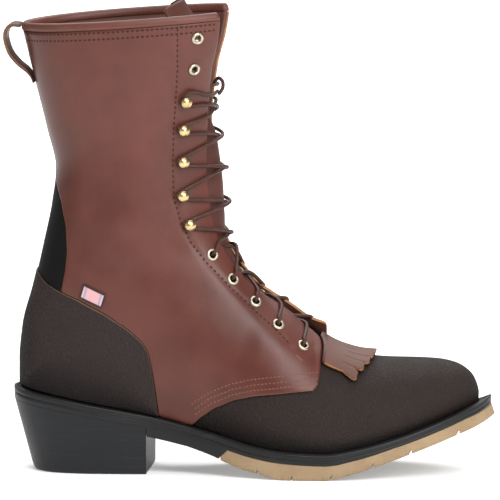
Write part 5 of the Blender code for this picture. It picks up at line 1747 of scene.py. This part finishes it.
def stitch_model(length, width):
    bpy.ops.mesh.primitive_uv_sphere_add(segments=STITCH_SEGMENTS, ring_count=STITCH_RINGS, radius=0.5 * MM)
    model = bpy.context.object
    model.rotation_euler = (0.0, math.pi / 2, 0.0)
    bpy.ops.object.transform_apply(location=True, rotation=True, scale=True)
    model.scale = (length, width, STITCH_HIGH)
    bpy.ops.object.transform_apply(location=True, rotation=True, scale=True)
    bpy.ops.object.shade_smooth()
    return model


def sewn(name, size, thread, rows):
    """One piece of all stitches of a kind. Each row: points, outward directions, pitch, turn of a stitch."""
    model = stitch_model(*size)
    copies = []
    for row in rows:
        copies += stitch_copies(model, *row)
    piece = join(copies)
    piece.name = name
    piece.data = piece.data.copy() if piece.data.users > 1 else piece.data
    piece.data.name = name
    bpy.ops.object.transform_apply(location=True, rotation=True, scale=True)
    bpy.data.objects.remove(model)
    dress(piece, "cord", thread)


def thread_finish(name, tint):
    finish = Finish(name)
    twist = finish.noise(1800.0, 2.0)
    colour = twist.step(0.3, 0.7).colour(shade(tint, 0.7), shade(tint, 1.3))
    return finish.surface({
        "Base Color": colour, "Roughness": 0.6, "Specular IOR Level": 0.15,
        "Normal": finish.bump(twist, 0.3, 0.0002)})


def collar_row(side, way):
    """Path a fixed way under the collar's edge, from the throat to the backstay."""
    t = np.linspace(*COLLAR_SPAN, 80)
    top = surface(COLLAR_ROW, t, side)[0]
    apart = np.linalg.norm(top - surface(COLLAR_ROW - 1, t, side)[0], axis=1)
    s = COLLAR_ROW - way / apart
    return lifted(s, t, side, STITCH_LIFT), outward(s, t, side)


dark_thread = thread_finish("dark_thread", (0.046, 0.0165, 0.0125))
pale_thread = thread_finish("pale_thread", (0.165, 0.076, 0.058))
eyestay_rows = []
collar_rows = []
vamp_rows = []
for _, side in SIDES:
    eyestay_rows.append((*on_side(EYESTAY_LINE, side, STITCH_LIFT), EYESTAY_PITCH))
    collar_rows += [(*collar_row(side, way), COLLAR_PITCH) for way in COLLAR_ROWS]
    for way in VAMP_ROWS_UP:
        vamp_rows.append((*on_side(beside_line(VAMP_SEAM, -way)[:-1], side, STITCH_LIFT), VAMP_PITCH))
    vamp_rows.append((*on_side(TACK_PLACE, side, STITCH_LIFT), TACK_PITCH, math.pi / 2))
sewn("eyestay_stitches", EYESTAY_STITCH, dark_thread, eyestay_rows)
sewn("collar_stitches", COLLAR_STITCH, dark_thread, collar_rows)
sewn("vamp_seam_stitches", VAMP_STITCH, pale_thread, vamp_rows)
